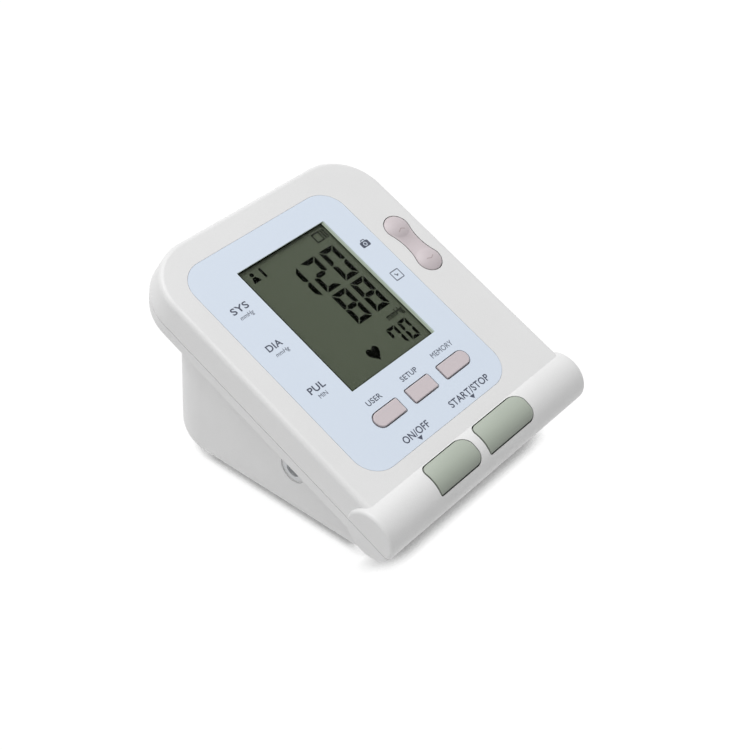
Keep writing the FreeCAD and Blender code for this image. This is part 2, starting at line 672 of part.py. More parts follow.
def figure_eight(name, border, low, high):
    """Two round ends and the waist between them, upright on the slope."""
    body = doc.addObject("PartDesign::Body", name)
    settle(body, ("rocker_x", "rocker_v", "0"), SLOPE)
    sketch = body.newObject("Sketcher::SketchObject", "outline")
    sketch.AttachmentSupport = [(origin_plane(body, "XY_Plane"), "")]
    sketch.MapMode = "FlatFace"
    sketch.setExpression(".AttachmentOffset.Base.z", bound(low))
    round_end = f"lobe_radius + ({border})"
    waist = f"waist_half + ({border})"
    # The hollow's circle touches both round ends and passes the waist.
    hollow = (f"(lobe_offset * lobe_offset + ({waist}) * ({waist}) - ({round_end}) * ({round_end}))"
              f" / (2 * (({round_end}) - ({waist})))")
    r, s, offset, q = number(round_end), number(waist), number("lobe_offset"), number(hollow)
    turn = math.atan2(offset, q + s)
    ends = []
    for side in (1, -1):
        circle = Part.Circle(Vector(0, side * offset, 0), Vector(0, 0, 1), r)
        start, stop = (-turn, math.pi + turn) if side > 0 else (math.pi - turn, turn)
        ends.append(sketch.addGeometry(Part.ArcOfCircle(circle, start, stop), False))
    hollows = []
    for side in (1, -1):
        circle = Part.Circle(Vector(side * (q + s), 0, 0), Vector(0, 0, 1), q)
        start, stop = (math.pi - turn, math.pi + turn) if side > 0 else (-turn, turn)
        hollows.append(sketch.addGeometry(Part.ArcOfCircle(circle, start, stop), False))
    far, near = ends
    right, left = hollows
    for one, one_end, two, two_end in ((far, 1, right, 1), (right, 2, near, 2),
                                       (near, 1, left, 1), (left, 2, far, 2)):
        sketch.addConstraint(Sketcher.Constraint("Tangent", one, one_end, two, two_end))
    for end, place in ((far, "lobe_offset"), (near, "-lobe_offset")):
        sketch.addConstraint(Sketcher.Constraint("PointOnObject", end, 3, -2))
        where = sketch.addConstraint(Sketcher.Constraint("DistanceY", -1, 1, end, 3, number(place)))
        sketch.setExpression(f"Constraints[{where}]", bound(place))
        size = sketch.addConstraint(Sketcher.Constraint("Radius", end, r))
        sketch.setExpression(f"Constraints[{size}]", bound(round_end))
    for side in hollows:
        size = sketch.addConstraint(Sketcher.Constraint("Radius", side, q))
        sketch.setExpression(f"Constraints[{size}]", bound(hollow))
    pad = body.newObject("PartDesign::Pad", "pad")
    pad.Profile = sketch
    bind(pad, Length=f"({high}) - ({low})")
    return body


def board_bosses():
    """Where the main board is screwed to the cover, on the slope."""
    across = ("board_left + board_boss_inset", "board_right - board_boss_inset")
    along = ("board_low + board_boss_inset", "board_shoulder - board_boss_inset")
    return [(x, v) for x in across for v in along]


def small_bosses():
    """Where the button board is screwed to the cover, on the slope."""
    return [("small_boss_left", "0"), ("small_boss_right", "0")]


def posts():
    """Where the case is screwed together: x, y and the top of the post."""
    front = [(f"{side} * post_front_x", "post_front_y", "post_front_top") for side in (-1, 1)]
    back = [(f"{side} * post_back_x", "post_back_y", "post_back_top") for side in (-1, 1)]
    return front + back


def end_disc(name, radius, seat="0", out="0"):
    """The disc, or its recess, in the right end of the roll."""
    start = f"roll_half - cap_thick - {seat}"
    return rod(name, (start, "0", "0"), radius, f"cap_thick + {seat} + {out}", "x", SLOPE)


def front_cover():
    """The upper shell: the sloping top, its sides and the upper half of the roll."""
    slab = prism("cover_slab", plan(), "seam_level", "top_level", draft="cover_draft", edge="top_edge",
                 keep=lambda e: max(v.Y for v in e.Vertexes) > number("roll_radius"))
    hollow = prism("cover_hollow", plan("wall"), "seam_level - past", ROOF, draft="cover_draft")
    far = "(2 * half_width)"
    wide = (f"-{far}", far)
    below = block("cover_below", wide, wide, (f"seam_level - {far}", "seam_level"), SLOPE)
    shell = cut("cover_shell", fuse("cover_outside", [slab, roll("cover_roll")]),
                [below, hollow, roll("cover_roll_hollow", "wall")])
    bosses = []
    for x, v in board_bosses():
        bosses.append(rod("cover_boss", (x, v, "board_level"), "board_boss_radius", "top_level - board_level",
                          frame=SLOPE))
    for x, v in small_bosses():
        bosses.append(rod("cover_small_boss", (x, v, "small_board_level"), "board_boss_radius",
                          "roll_radius - wall / 2 - small_board_level", frame=SLOPE))
    for x, y, top in posts():
        bosses.append(rod("cover_post", (x, y, top), "boss_radius", "2 * roll_radius"))
    trim = prism("cover_trim", plan("wall / 2"), f"-{far}", "top_level - boss_trim")
    trim_roll = roll("cover_trim_roll", "wall / 2")
    inner = common("cover_bosses", fuse("cover_all_bosses", bosses), fuse("cover_room", [trim, trim_roll]))
    ears = []
    for side in (-1, 1):
        near, reach = ("ear_near", "ear_far") if side > 0 else ("-ear_far", "-ear_near")
        ears.append(block("cover_ear", (f"rocker_x + {near}", f"rocker_x + {reach}"),
                          ("rocker_v - ear_half", "rocker_v + ear_half"),
                          ("pivot_level - ear_half", f"{ROOF} + wall / 2"), SLOPE))
    holes = [
        prism("panel_recess", rectangle(*PANEL, "panel_corner"), PANEL_SEAT, "top_level + past"),
        prism("cover_window", rectangle(*WINDOW, "window_corner", "lens_border + lens_gap"), ROOF + " - past",
              "top_level"),
        glass_box("glass_pocket", f"{LIP} + web_gap", ROOF + " - past", f"{GLASS_TOP} + web_gap"),
        figure_eight("rocker_opening", "rocker_gap", ROOF + " - past / 2", "top_level + past"),
        rod("rocker_bore", ("rocker_x - ear_far - past", "rocker_v", "pivot_level"),
            "pivot_radius + pivot_gap", "2 * ear_far + 2 * past", "x", SLOPE),
        end_disc("cover_disc_recess", "cap_radius + cap_gap", "screw_gap", "wall"),
    ]
    for corners in keys("key_gap"):
        holes.append(prism("key_opening", corners, ROOF + " - past", "top_level"))
    for left, right in (("power_left", "power_right"), ("start_left", "start_right")):
        holes.append(prism("button_opening", button_corners(left, right, "button_gap"), "button_foot - past",
                           "roll_radius + past"))
    for x, v in board_bosses():
        holes.append(rod("boss_hole", (x, v, "board_level"), "board_screw_radius + screw_gap",
                         "board_screw_bite + lap", frame=SLOPE))
    for x, v in small_bosses():
        holes.append(rod("boss_hole", (x, v, "small_board_level"), "board_screw_radius + screw_gap",
                         "board_screw_bite + lap", frame=SLOPE))
    for x, y, top in posts():
        holes.append(rod("post_hole", (x, y, top), "screw_radius + screw_gap", "screw_bite + lap"))
    return node(cut("cover", fuse("cover_solid", [shell, inner] + ears), holes), "front_cover")


def lower_body(name, inset="0", level="rim_level / 2"):
    """The lower case between its sides, or its inside when it is inset, up to a level of the slope."""
    body = doc.addObject("PartDesign::Body", name)
    lean = "back_lean * 1 deg"
    tilt = "slope_angle * 1 deg"
    half = f"(case_half - ({inset}))"
    low = f"({BOTTOM} + ({inset}))"
    heel = (f"(depth / 2 - bottom_edge + (bottom_edge - ({inset})) * (1 + sin({lean})) / cos({lean}))")
    # The back wall meets the plane of the slope at that level.
    rise = f"(roll_height - {ROLL_Y} * tan({tilt}) + ({level}) / cos({tilt}) - {low})"
    back = f"(({heel} - {rise} * tan({lean})) / (1 + tan({tilt}) * tan({lean})))"
    corners = [
        (f"{FRONT} + nose_reach + ({inset}) * 1.1", f"{BOTTOM} + nose_rise", "0"),
        (f"{FRONT} + chin_reach + ({inset}) * 0.85", f"{BOTTOM} + chin_rise + ({inset}) * 0.7", "0"),
        (f"{FRONT} + floor_reach + ({inset}) * 0.35", low, "0"),
        (heel, low, "0"),
        (back, f"{low} + {rise} + {back} * tan({tilt})", "0"),
        (f"{ROLL_Y} - ({level}) * sin({tilt})", f"roll_height + ({level}) * cos({tilt})", "0"),
    ]
    pad = body.newObject("PartDesign::Pad", "pad")
    pad.Profile = outline(body, "side", corners, "YZ_Plane")
    pad.Midplane = True
    bind(pad, Length=f"2 * {half}")
    side, bottom = number(half), number(low)
    middle = number("roll_radius")

    def upright(edge):
        a, b = edge.Vertexes[0], edge.Vertexes[-1]
        return abs(abs(a.X) - side) < 1e-4 and abs(a.X - b.X) < 1e-4

    def at_back(edge):
        return upright(edge) and min(v.Y for v in edge.Vertexes) > middle and edge.Length > bottom * 4 \
            and max(v.Z for v in edge.Vertexes) - min(v.Z for v in edge.Vertexes) > edge.Length / 2

    def at_bottom(edge):
        flat = all(abs(v.Z - bottom) < 1e-4 for v in edge.Vertexes)
        nose = number(f"{BOTTOM} + nose_rise") + 1e-3
        front = upright(edge) and all(v.Y < -middle and v.Z < nose for v in edge.Vertexes)
        return flat or front

    corner = round_edges(body, pad, f"back_corner - ({inset})", at_back)
    round_edges(body, corner, f"bottom_edge - ({inset})", at_bottom)
    return body


def rear_case():
    """The lower shell: the rim under the cover, the lower half of the roll and the body with its posts."""
    rim_top = "seam_level - seam_gap"
    far = "(2 * half_width)"
    wide = (f"-{far}", far)
    above = block("case_above", wide, wide, (rim_top, f"seam_level + {far}"), SLOPE)
    rim = prism_down("case_rim", plan(), rim_top, "rim_level")
    rim_hollow = prism_down("case_rim_hollow", plan("wall"), "seam_level + past", "rim_level + wall")
    outside = fuse("case_outside", [lower_body("case_body"), rim, roll("case_roll")])
    inside = fuse("case_inside", [lower_body("case_hollow", "wall", "seam_level + past"), rim_hollow,
                                  roll("case_roll_hollow", "wall")])
    shell = cut("case_shell", outside, [above, inside])
    columns = [rod("case_post", (x, y, BOTTOM), "post_radius", f"{top} - {BOTTOM}") for x, y, top in posts()]
    extras = [common("case_posts", fuse("case_columns", columns), outside)]
    side, inside_wall = "jack_body_side / 2", "case_half - wall / 2"
    extras.append(block("jack_shelf", (f"{inside_wall} - jack_body_length", inside_wall),
                        (f"jack_y - {side}", f"jack_y + {side}"),
                        (f"jack_z - {side} - shelf_thick", f"jack_z - {side}")))
    holes = []
    for x, y, top in posts():
        holes.append(rod("well", (x, y, "0"), "well_radius", f"{top} - post_shelf"))
        holes.append(rod("post_hole", (x, y, "0"), "screw_radius + 2 * screw_gap", f"{top} + past"))
    for x, y in feet():
        holes.append(rod("foot_pocket", (x, y, "0"), "foot_radius + screw_gap", f"{BOTTOM} + foot_seat"))
    holes.append(block("door_opening", ("-door_half - door_gap", "door_half + door_gap"),
                       ("door_front - door_gap", "door_back + door_gap"), ("0", f"{FLOOR} + past")))
    holes.append(rod("socket_hole", ("-case_half - past", "socket_y", "socket_z"),
                     "socket_radius + screw_gap", "wall + 2 * past", "x"))
    holes.append(rod("socket_recess", ("-case_half - past", "socket_y", "socket_z"), "recess_radius",
                     "past + recess_depth", "x"))
    holes.append(rod("jack_hole", ("case_half - wall - past", "jack_y", "jack_z"), "recess_radius",
                     "wall + 2 * past", "x"))
    holes.append(label_block("label_recess", "label_gap", "label_thick + screw_gap"))
    holes.append(end_disc("case_disc_recess", "cap_radius + cap_gap", "screw_gap", "wall"))
    return node(cut("case", fuse("case_solid", [shell] + extras), holes), "rear_case")


def prism_down(name, corners, high, low):
    """A body whose outline is at its upper level and draws in towards its lower one, as the rim does."""
    body = doc.addObject("PartDesign::Body", name)
    settle(body, ("0", "0", "0"), SLOPE)
    pad = body.newObject("PartDesign::Pad", "pad")
    pad.Profile = outline(body, "outline", corners, level=high)
    pad.Reversed = True
    bind(pad, Length=f"({high}) - ({low})", TaperAngle="-rim_draft")
    return body


def label_block(name, border, thick):
    """The plate on the right side, or its recess when it has a border."""
    item = doc.addObject("Part::Box", name)
    bind(item, Length=thick, Width=f"label_length + 2 * ({border})", Height=f"label_width + 2 * ({border})")
    tilt = "slope_angle * 1 deg"
    along, up = f"(label_length / 2 + {border})", f"(label_width / 2 + {border})"
    item.Placement = Placement(Vector(), Rotation(Vector(1, 0, 0), number("slope_angle")))
    item.setExpression(".Placement.Rotation.Angle", bound("slope_angle"))
    item.setExpression(".Placement.Base.x", bound(f"case_half - ({thick})"))
    item.setExpression(".Placement.Base.y", bound(f"label_y - {along} * cos({tilt}) + {up} * sin({tilt})"))
    item.setExpression(".Placement.Base.z", bound(f"label_z - {along} * sin({tilt}) - {up} * cos({tilt})"))
    return item


def feet():
    """The middle of each foot."""
    return [(f"{side} * foot_x", y) for side in (-1, 1) for y in ("foot_front_y", "foot_back_y")]


def rubber_feet():
    """Four round feet in pockets of the bottom."""
    made = [rod("foot", (x, y, "0"), "foot_radius", f"{BOTTOM} + foot_seat") for x, y in feet()]
    return node(group("feet", made), "rubber_feet")


def case_screws():
    """Four long screws that hold both shells together."""
    made = []
    for x, y, top in posts():
        head_top = f"({top} - post_shelf - screw_gap)"
        head = rod("screw_head", (x, y, f"{head_top} - screw_head_height"), "screw_head_radius",
                   "screw_head_height")
        slot = block("screw_slot", (f"{x} - screw_head_radius", f"{x} + screw_head_radius"),
                     (f"{y} - slot_width / 2", f"{y} + slot_width / 2"),
                     (f"{head_top} - screw_head_height", f"{head_top} - screw_head_height / 2"))
        shank = rod("screw_shank", (x, y, f"{head_top} - lap"), "screw_radius",
                    "lap + screw_gap + post_shelf + screw_bite")
        made.append(cut("case_screw", fuse("screw_whole", [head, shank]), [slot]))
    return node(group("screws", made), "case_screws")


# ---------------------------------------------------------------- trim and display


def panel_overlay():
    """The printed plate around the window and the keys."""
    plate = prism("panel_plate", rectangle(*PANEL, "panel_corner", "-panel_gap"), PANEL_SEAT, "top_level")
    low, high = PANEL_SEAT + " - past", "top_level + past"
    holes = [prism("panel_window", rectangle(*WINDOW, "window_corner"), low, high)]
    for corners in keys("key_gap"):
        holes.append(prism("panel_key", corners, low, high))
    return node(cut("panel", plate, holes), "panel_overlay")


def window_lens():
    """The clear plate under the panel's window."""
    corners = rectangle(*WINDOW, "window_corner", "lens_border")
    return node(prism("lens", corners, f"{PANEL_SEAT} - lens_thick", PANEL_SEAT), "window_lens")


def roll_end_cap():
    """The disc in the right end of the roll."""
    return node(end_disc("disc", "cap_radius"), "roll_end_cap")


def side_label():
    """The bare plate on the right side, with a hole for the mains inlet."""
    plate = label_block("label_plate", "0", "label_thick")
    hole = rod("label_hole", ("case_half - wall", "jack_y", "jack_z"), "recess_radius + label_gap",
               "wall + past", "x")
    return node(cut("label", plate, [hole]), "side_label")


def glass_box(name, border, low, high):
    """A box around the window that is larger by a border."""
    return block(name, (f"window_left - ({border})", f"window_right + ({border})"),
                 (f"window_low - ({border})", f"window_high + ({border})"), (low, high), SLOPE)


def strips(name, border, low, high):
    """The two contact strips under the edges of the display glass, or their slots."""
    made = []
    left, right = "window_left - glass_border + strip_end", "window_right + glass_border - strip_end"
    front = "(window_low - glass_border + strip_inset)"
    back = "(window_high + glass_border - strip_inset - strip_width)"
    for start in (front, back):
        made.append(block(name, (f"{left} - {border}", f"{right} + {border}"),
                          (f"{start} - {border}", f"{start} + strip_width + {border}"), (low, high), SLOPE))
    return made


def display():
    """The display glass, its frame on the main board and the contact strips between them."""
    node(glass_box("glass", "glass_border", GLASS_BOTTOM, GLASS_TOP), "lcd_glass")
    seat = f"({GLASS_BOTTOM} - screw_gap)"
    below = "board_level - past"
    inside = "glass_border - strip_inset - strip_width - frame_wall"
    holes = [glass_box("frame_pocket", "glass_border + glass_gap", seat, f"{GLASS_TOP} + past"),
             glass_box("frame_under", inside, below, f"{seat} - frame_floor")]
    holes += strips("frame_slot", "strip_gap", below, f"{seat} + past")
    node(cut("glass_frame", glass_box("frame_block", LIP, "board_level", GLASS_TOP), holes), "lcd_frame")
    made = strips("strip", "0", "board_level", f"{GLASS_BOTTOM} - screw_gap / 2")
    node(group("contact_strips", made), "lcd_elastomers")


# ---------------------------------------------------------------- boards


def main_board():
    """The board under the display, the keys and the rocker."""
    corners = [
        ("board_left", "board_low", "board_corner"), ("board_right", "board_low", "board_corner"),
        ("board_right", "board_shoulder", "board_corner"), ("board_neck", "board_shoulder", "board_corner"),
        ("board_neck", "board_high", "board_corner"), ("-board_neck", "board_high", "board_corner"),
        ("-board_neck", "board_shoulder", "board_corner"), ("board_left", "board_shoulder", "board_corner"),
    ]
    board = prism("board_plate", corners, BOARD_UNDER, "board_level")
    holes = [rod("board_hole", (x, v, BOARD_UNDER + " - past"), "board_screw_radius + 3 * screw_gap",
                 "board_thick + 2 * past", frame=SLOPE) for x, v in board_bosses()]
    return node(cut("board", board, holes), "main_board")


def button_board():
    """The narrow board in the roll, under the two buttons."""
    low = "(small_board_level - board_thick)"
    board = block("small_plate", ("small_board_left", "small_board_right"),
                  ("-small_board_half", "small_board_half"), (low, "small_board_level"), SLOPE)
    holes = [rod("board_hole", (x, v, low + " - past"), "board_screw_radius + 3 * screw_gap",
                 "board_thick + 2 * past", frame=SLOPE) for x, v in small_bosses()]
    return node(cut("small_board", board, holes), "button_board")


def board_screws():
    """Six small screws that hold both boards to the cover."""
    made = []
    seats = [(x, v, "board_level") for x, v in board_bosses()]
    seats += [(x, v, "small_board_level") for x, v in small_bosses()]
    for x, v, level in seats:
        under = f"({level} - board_thick)"
        head = rod("small_screw_head", (x, v, f"{under} - small_head"), "board_screw_head", "small_head",
                   frame=SLOPE)
        shank = rod("small_shank", (x, v, f"{under} - lap"), "board_screw_radius",
                    "lap + board_thick + board_screw_bite", frame=SLOPE)
        made.append(fuse("board_screw", [head, shank]))
    return node(group("small_screws", made), "board_screws")


def board_ribbon():
    """The flat cable from the button board to a connector under the main board."""
    end = "(board_low + ribbon_plug)"
    left, right = "ribbon_left", "ribbon_left + ribbon_width"
    top = "(small_board_level + ribbon_thick)"
    flat = block("ribbon_flat", (left, right), ("small_board_half / 2", end), ("small_board_level", top),
                 SLOPE)
    plug = block("ribbon_socket", (left + " - lap", right + " + lap"), ("board_low + lap", end),
                 (top, BOARD_UNDER), SLOPE)
    return node(fuse("ribbon", [flat, plug]), "board_ribbon")


def switch_places():
    """Each switch: its name, the middle of its plunger, the top of its board."""
    key_middle = "({0}_left + {0}_right) / 2"
    places = [(name + "_plunger", key_middle.format(name), KEY_V, "board_level")
              for name in ("user", "setup", "memory")]
    places += [(name + "_plunger", key_middle.format(name), BUTTON_V, "small_board_level")
               for name in ("power", "start")]
    places += [("rocker_up_plunger", "rocker_x", "rocker_v + rocker_stem", "board_level"),
               ("rocker_down_plunger", "rocker_x", "rocker_v - rocker_stem", "board_level")]
    return places


def switches():
    """The seven switch bodies, and the plunger of each as a piece of its own."""
    bodies = []
    for name, x, v, level in switch_places():
        half = "switch_side / 2"
        top = f"({level} + switch_height)"
        foot = f"({top} - plunger_depth)"
        body = block("switch_block", (f"{x} - {half}", f"{x} + {half}"), (f"{v} - {half}", f"{v} + {half}"),
                     (level, top), SLOPE)
        bore = rod("switch_bore", (x, v, f"{foot} - plunger_room"), "plunger_radius + plunger_gap",
                   "plunger_depth + plunger_room + past", frame=SLOPE)
        bodies.append(cut("switch", body, [bore]))
        length = "plunger_depth + plunger_rise"
        node(rod("plunger", (x, v, foot), "plunger_radius", length, frame=SLOPE), name)
    node(group("switch_bodies", bodies), "tact_switches")


def board_chips():
    """The processor and the small chips on the main board."""
    upper = ("board_level", "board_level + chip_thick")
    lower = (BOARD_UNDER + " - chip_thick", BOARD_UNDER)
    places = (
        ("processor_x", "processor_v", "processor_side", upper),
        ("memory_x", "memory_v", "chip_side", upper),
        ("driver_x", "driver_v", "chip_side", lower),
        ("amplifier_x", "amplifier_v", "chip_side", lower),
    )
    made = [block("chip", (x, f"{x} + {side}"), (v, f"{v} + {side}"), levels, SLOPE)
            for x, v, side, levels in places]
    return node(group("chips", made), "board_chips")


def board_extras():
    """The buzzer and the capacitor, under the main board."""
    at = ("buzzer_x", "buzzer_v", f"{BOARD_UNDER} - buzzer_height")
    shell = rod("buzzer_can", at, "buzzer_radius", "buzzer_height", frame=SLOPE)
    hole = rod("buzzer_hole", at, "buzzer_hole", "buzzer_height / 4", frame=SLOPE)
    node(cut("buzzer_whole", shell, [hole]), "buzzer")
    node(rod("capacitor_can", ("capacitor_x", "capacitor_v", f"{BOARD_UNDER} - capacitor_height"),
             "capacitor_radius", "capacitor_height", frame=SLOPE), "capacitor")


# ---------------------------------------------------------------- keys


def small_key(name, x, corners, flange):
    """A key with its flange under the cover and its stem over the switch."""
    cap = prism(name + "_cap", corners, FLANGE_BOTTOM, "top_level + key_rise", edge="key_edge")
    skirt = prism(name + "_skirt", flange, FLANGE_BOTTOM, FLANGE_TOP)
    stem = rod(name + "_stem", (x, KEY_V, f"{PLUNGER_TOP} + stem_gap"), "stem_radius",
               f"{FLANGE_BOTTOM} + lap - {PLUNGER_TOP} - stem_gap", frame=SLOPE)
    return node(fuse(name, [cap, skirt, stem]), name + "_key")


def small_keys():
    """The user, setup and memory keys."""
    for name, corners, flange in zip(("user", "setup", "memory"), keys("0"), keys("flange_border")):
        small_key(name, f"({name}_left + {name}_right) / 2", corners, flange)


def roll_button(name):
    """A button that continues the roll's round surface, with its flange and stem inside."""
    left, right = name + "_left", name + "_right"
    block_up = prism(name + "_prism", button_corners(left, right), "button_foot", "roll_radius + past")
    round_top = rod(name + "_round", (left + " - past", "0", "0"), "roll_radius + button_proud",
                    f"{right} - {left} + 2 * past", "x", SLOPE)
    cap = common(name + "_cap", block_up, round_top)
    low = "(button_foot - button_flange)"
    skirt = prism(name + "_skirt", button_corners(left, right, "button_border"), low, "button_foot")
    stem = rod(name + "_stem", (f"({left} + {right}) / 2", BUTTON_V, f"{SMALL_PLUNGER_TOP} + stem_gap"),
               "stem_radius", f"{low} + lap - {SMALL_PLUNGER_TOP} - stem_gap", frame=SLOPE)
    return node(fuse(name, [cap, skirt, stem]), name + "_button")


def rocker():
    """The double key with a pin across its waist, a dome on each end and a stem under each."""
    low = "(top_level - rocker_thick)"
    parts = [figure_eight("rocker_plate", "0", low, "top_level")]
    for side in ("+", "-"):
        middle = ("rocker_x", f"rocker_v {side} lobe_offset", f"{low} + lap")
        drum = rod("dome_drum", middle, "lobe_radius", "rocker_thick + dome_rise", frame=SLOPE)
        ball = doc.addObject("Part::Sphere", "dome_ball")
        size = "((lobe_radius * lobe_radius + dome_rise * dome_rise) / (2 * dome_rise))"
        bind(ball, Radius=size)
        settle(ball, (middle[0], middle[1], f"top_level + dome_rise - {size}"), SLOPE)
        parts.append(common("dome", drum, ball))
        foot = f"({PLUNGER_TOP} + rocker_stem_gap)"
        parts.append(rod("rocker_stem", ("rocker_x", f"rocker_v {side} rocker_stem", foot), "stem_radius",
                         f"{low} + lap - {foot}", frame=SLOPE))
    half, hub = "(waist_half - rocker_gap)", "(pivot_radius + lap)"
    across, along = (f"rocker_x - {half}", f"rocker_x + {half}"), (f"rocker_v - {hub}", f"rocker_v + {hub}")
    parts.append(block("rocker_hub", across, along, (f"pivot_level - {hub}", f"{low} + lap"), SLOPE))
    start = ("rocker_x - ear_far + rocker_gap", "rocker_v", "pivot_level")
    parts.append(rod("rocker_pin", start, "pivot_radius", "2 * (ear_far - rocker_gap)", "x", SLOPE))
    return node(fuse("rocker", parts), "rocker_key")


# ---------------------------------------------------------------- batteries


def cells():
    """The middle of each cell, front to back."""
    return [f"(cell_first + {i} * cell_pitch)" for i in range(int(number("cell_count")))]


def battery_cells():
    """Cells side by side, turned end for end."""
    made = []
    inner = "(tray_half - tray_wall - plate_thick)"
    for i, y in enumerate(cells()):
        if i % 2:
            start, nub = f"-{inner} + cell_nub", f"-{inner}"
        else:
            start, nub = f"{inner} - cell_nub - cell_length", f"{inner} - cell_nub"
        can = rod("cell_can", (start, y, CELL_Z), "cell_radius", "cell_length", "x")
        tip = rod("cell_tip", (nub, y, CELL_Z), "cell_nub_radius", "cell_nub", "x")
        made.append(fuse("cell", [can, tip]))
    return node(group("cells", made), "battery_cells")


def battery_contacts():
    """A flat plate at each end of each cell, and a spring at its flat end."""
    plates, springs = [], []
    inner = "(tray_half - tray_wall)"
    half = "plate_side / 2"
    for i, y in enumerate(cells()):
        for start in (f"-{inner}", f"{inner} - plate_thick"):
            across, up = (f"{y} - {half}", f"{y} + {half}"), (f"{CELL_Z} - {half}", f"{CELL_Z} + {half}")
            plates.append(block("plate", (start, f"{start} + plate_thick"), across, up))
        gap = "(2 * (tray_half - tray_wall - plate_thick) - cell_nub - cell_length)"
        start = f"{inner} - plate_thick - {gap}" if i % 2 else f"-{inner} + plate_thick"
        springs.append(helix("coil", (f"{start} + screw_gap", y, CELL_Z), "spring_radius", "spring_wire",
                             f"{gap} - 2 * screw_gap", SPRING_TURNS))
    node(group("plates", plates), "contact_plates")
    node(group("springs", springs), "battery_springs")


def battery_tray():
    """The upside-down box over the cells, with the cradle of the pump on its roof."""
    base = block("tray_block", ("-tray_half", "tray_half"), (TRAY_FRONT, TRAY_BACK), (FLOOR, TRAY_TOP))
    room = block("tray_inside", ("-tray_half + tray_wall", "tray_half - tray_wall"),
                 (f"{TRAY_FRONT} + tray_wall", f"{TRAY_BACK} - tray_wall"),
                 (f"{FLOOR} - past", f"{TRAY_TOP} - tray_wall"))
    low = "sleeve_left + lap"
    high = "sleeve_left + sleeve_length - lap - cradle_thick"
    across = ("pump_y - cradle_half", "pump_y + cradle_half")
    up = (f"{TRAY_TOP} - lap", "pump_z - motor_radius / 2")
    ribs = [block("cradle_rib", (start, f"{start} + cradle_thick"), across, up) for start in (low, high)]
    seat = pump_rod("cradle_seat", "0", "motor_radius + sleeve_thick + screw_gap", "motor_length")
    return node(cut("tray", fuse("tray_solid", [base] + ribs), [room, seat]), "battery_tray")


def battery_door():
    """The door in the bottom: a plate, two tongues at its front edge and a finger grip at its back."""
    plate = block("door_plate", ("-door_half", "door_half"), ("door_front", "door_back"), (BOTTOM, DOOR_TOP))
    parts = [plate]
    for side in (-1, 1):
        middle = f"{side} * tongue_x"
        x = (f"{middle} - tongue_half", f"{middle} + tongue_half")
        level = f"({FLOOR} + screw_gap)"
        parts.append(block("tongue_foot", x, ("door_front", "door_front + tongue_root"),
                           (f"{DOOR_TOP} - lap", f"{level} + tongue_thick")))
        parts.append(block("tongue", x, ("door_front - tongue_reach", "door_front + tongue_root"),
                           (level, f"{level} + tongue_thick")))
    grips = []
    for i in range(1, 5):
        start = f"(door_back - grip_inset - {i} * grip_pitch)"
        grips.append(block("grip", ("-grip_half", "grip_half"), (start, f"{start} + grip_pitch / 2"),
                           ("0", f"{BOTTOM} + grip_depth")))
    return node(cut("door", fuse("door_solid", parts), grips), "battery_door")


# ---------------------------------------------------------------- air path


def air_socket():
    """The socket for the cuff's air plug: ring, flange inside the wall, and a hose barb."""
    y, z = "socket_y", "socket_z"
    face = f"(-{SIDE_FACE})"
    barrel = rod("socket_barrel", (face, y, z), "socket_radius", "socket_length", "x")
    flange = rod("socket_collar", ("-case_half + wall", y, z), "socket_flange", "socket_flange_thick", "x")
    end = f"{face} + socket_length - lap"
    barb = rod("socket_barb", (end, y, z), "barb_radius", "barb_length + lap", "x")
    bore = rod("socket_bore_cut", (f"{face} - past", y, z), "socket_bore", "socket_depth + past", "x")
    hole = rod("socket_air", (face, y, z), "air_hole", "socket_length + barb_length + past", "x")
    return node(cut("socket", fuse("socket_whole", [barrel, flange, barb]), [bore, hole]), "air_socket")


def air_manifold():
    """The block that joins socket, pump, valve, sensor and slow leak valve."""
    y, z = "socket_y", "socket_z"
    across = (f"{y} - manifold_half", f"{y} + manifold_half")
    base = block("manifold_block", ("manifold_left", "manifold_right"), across, (TRAY_TOP, MANIFOLD_TOP))
    side = "(manifold_half - lap)"
    barb = "barb_length + lap"
    barbs = [
        rod("barb_socket", ("manifold_left - barb_length", y, z), "barb_radius", barb, "x"),
        rod("barb_valve", ("manifold_right - lap", y, z), "barb_radius", barb, "x"),
        rod("barb_pump", ("pump_port_x", f"{y} + {side}", z), "barb_radius", barb, "y"),
        rod("barb_sensor", ("sensor_port_x", f"{y} + {side}", z), "barb_radius", barb, "y"),
    ]
    length = "(manifold_right - manifold_left + 2 * barb_length + 2 * past)"
    air = [rod("manifold_main", ("manifold_left - barb_length - past", y, z), "air_hole", length, "x")]
    air += [rod("manifold_branch", (x, y, z), "air_hole", "manifold_half + barb_length + past", "y")
            for x in ("pump_port_x", "sensor_port_x")]
    air.append(rod("manifold_leak", ("leak_port_x", y, z), "air_hole", f"{MANIFOLD_TOP} - {z} + past"))
    return node(cut("manifold", fuse("manifold_whole", [base] + barbs), air), "air_manifold")


def leak_valve():
    """The slow leak valve that stands on the manifold."""
    body = rod("leak_body", ("leak_port_x", "socket_y", MANIFOLD_TOP), "leak_radius", "leak_height")
    top = f"({MANIFOLD_TOP} + leak_height)"
    slot = block("leak_slot", ("leak_port_x - leak_radius", "leak_port_x + leak_radius"),
                 ("socket_y - slot_width / 2", "socket_y + slot_width / 2"), (f"{top} - slot_width", top))
    hole = rod("leak_hole", ("leak_port_x", "socket_y", MANIFOLD_TOP), "air_hole", "leak_height")
    return node(cut("leak", body, [slot, hole]), "leak_valve")


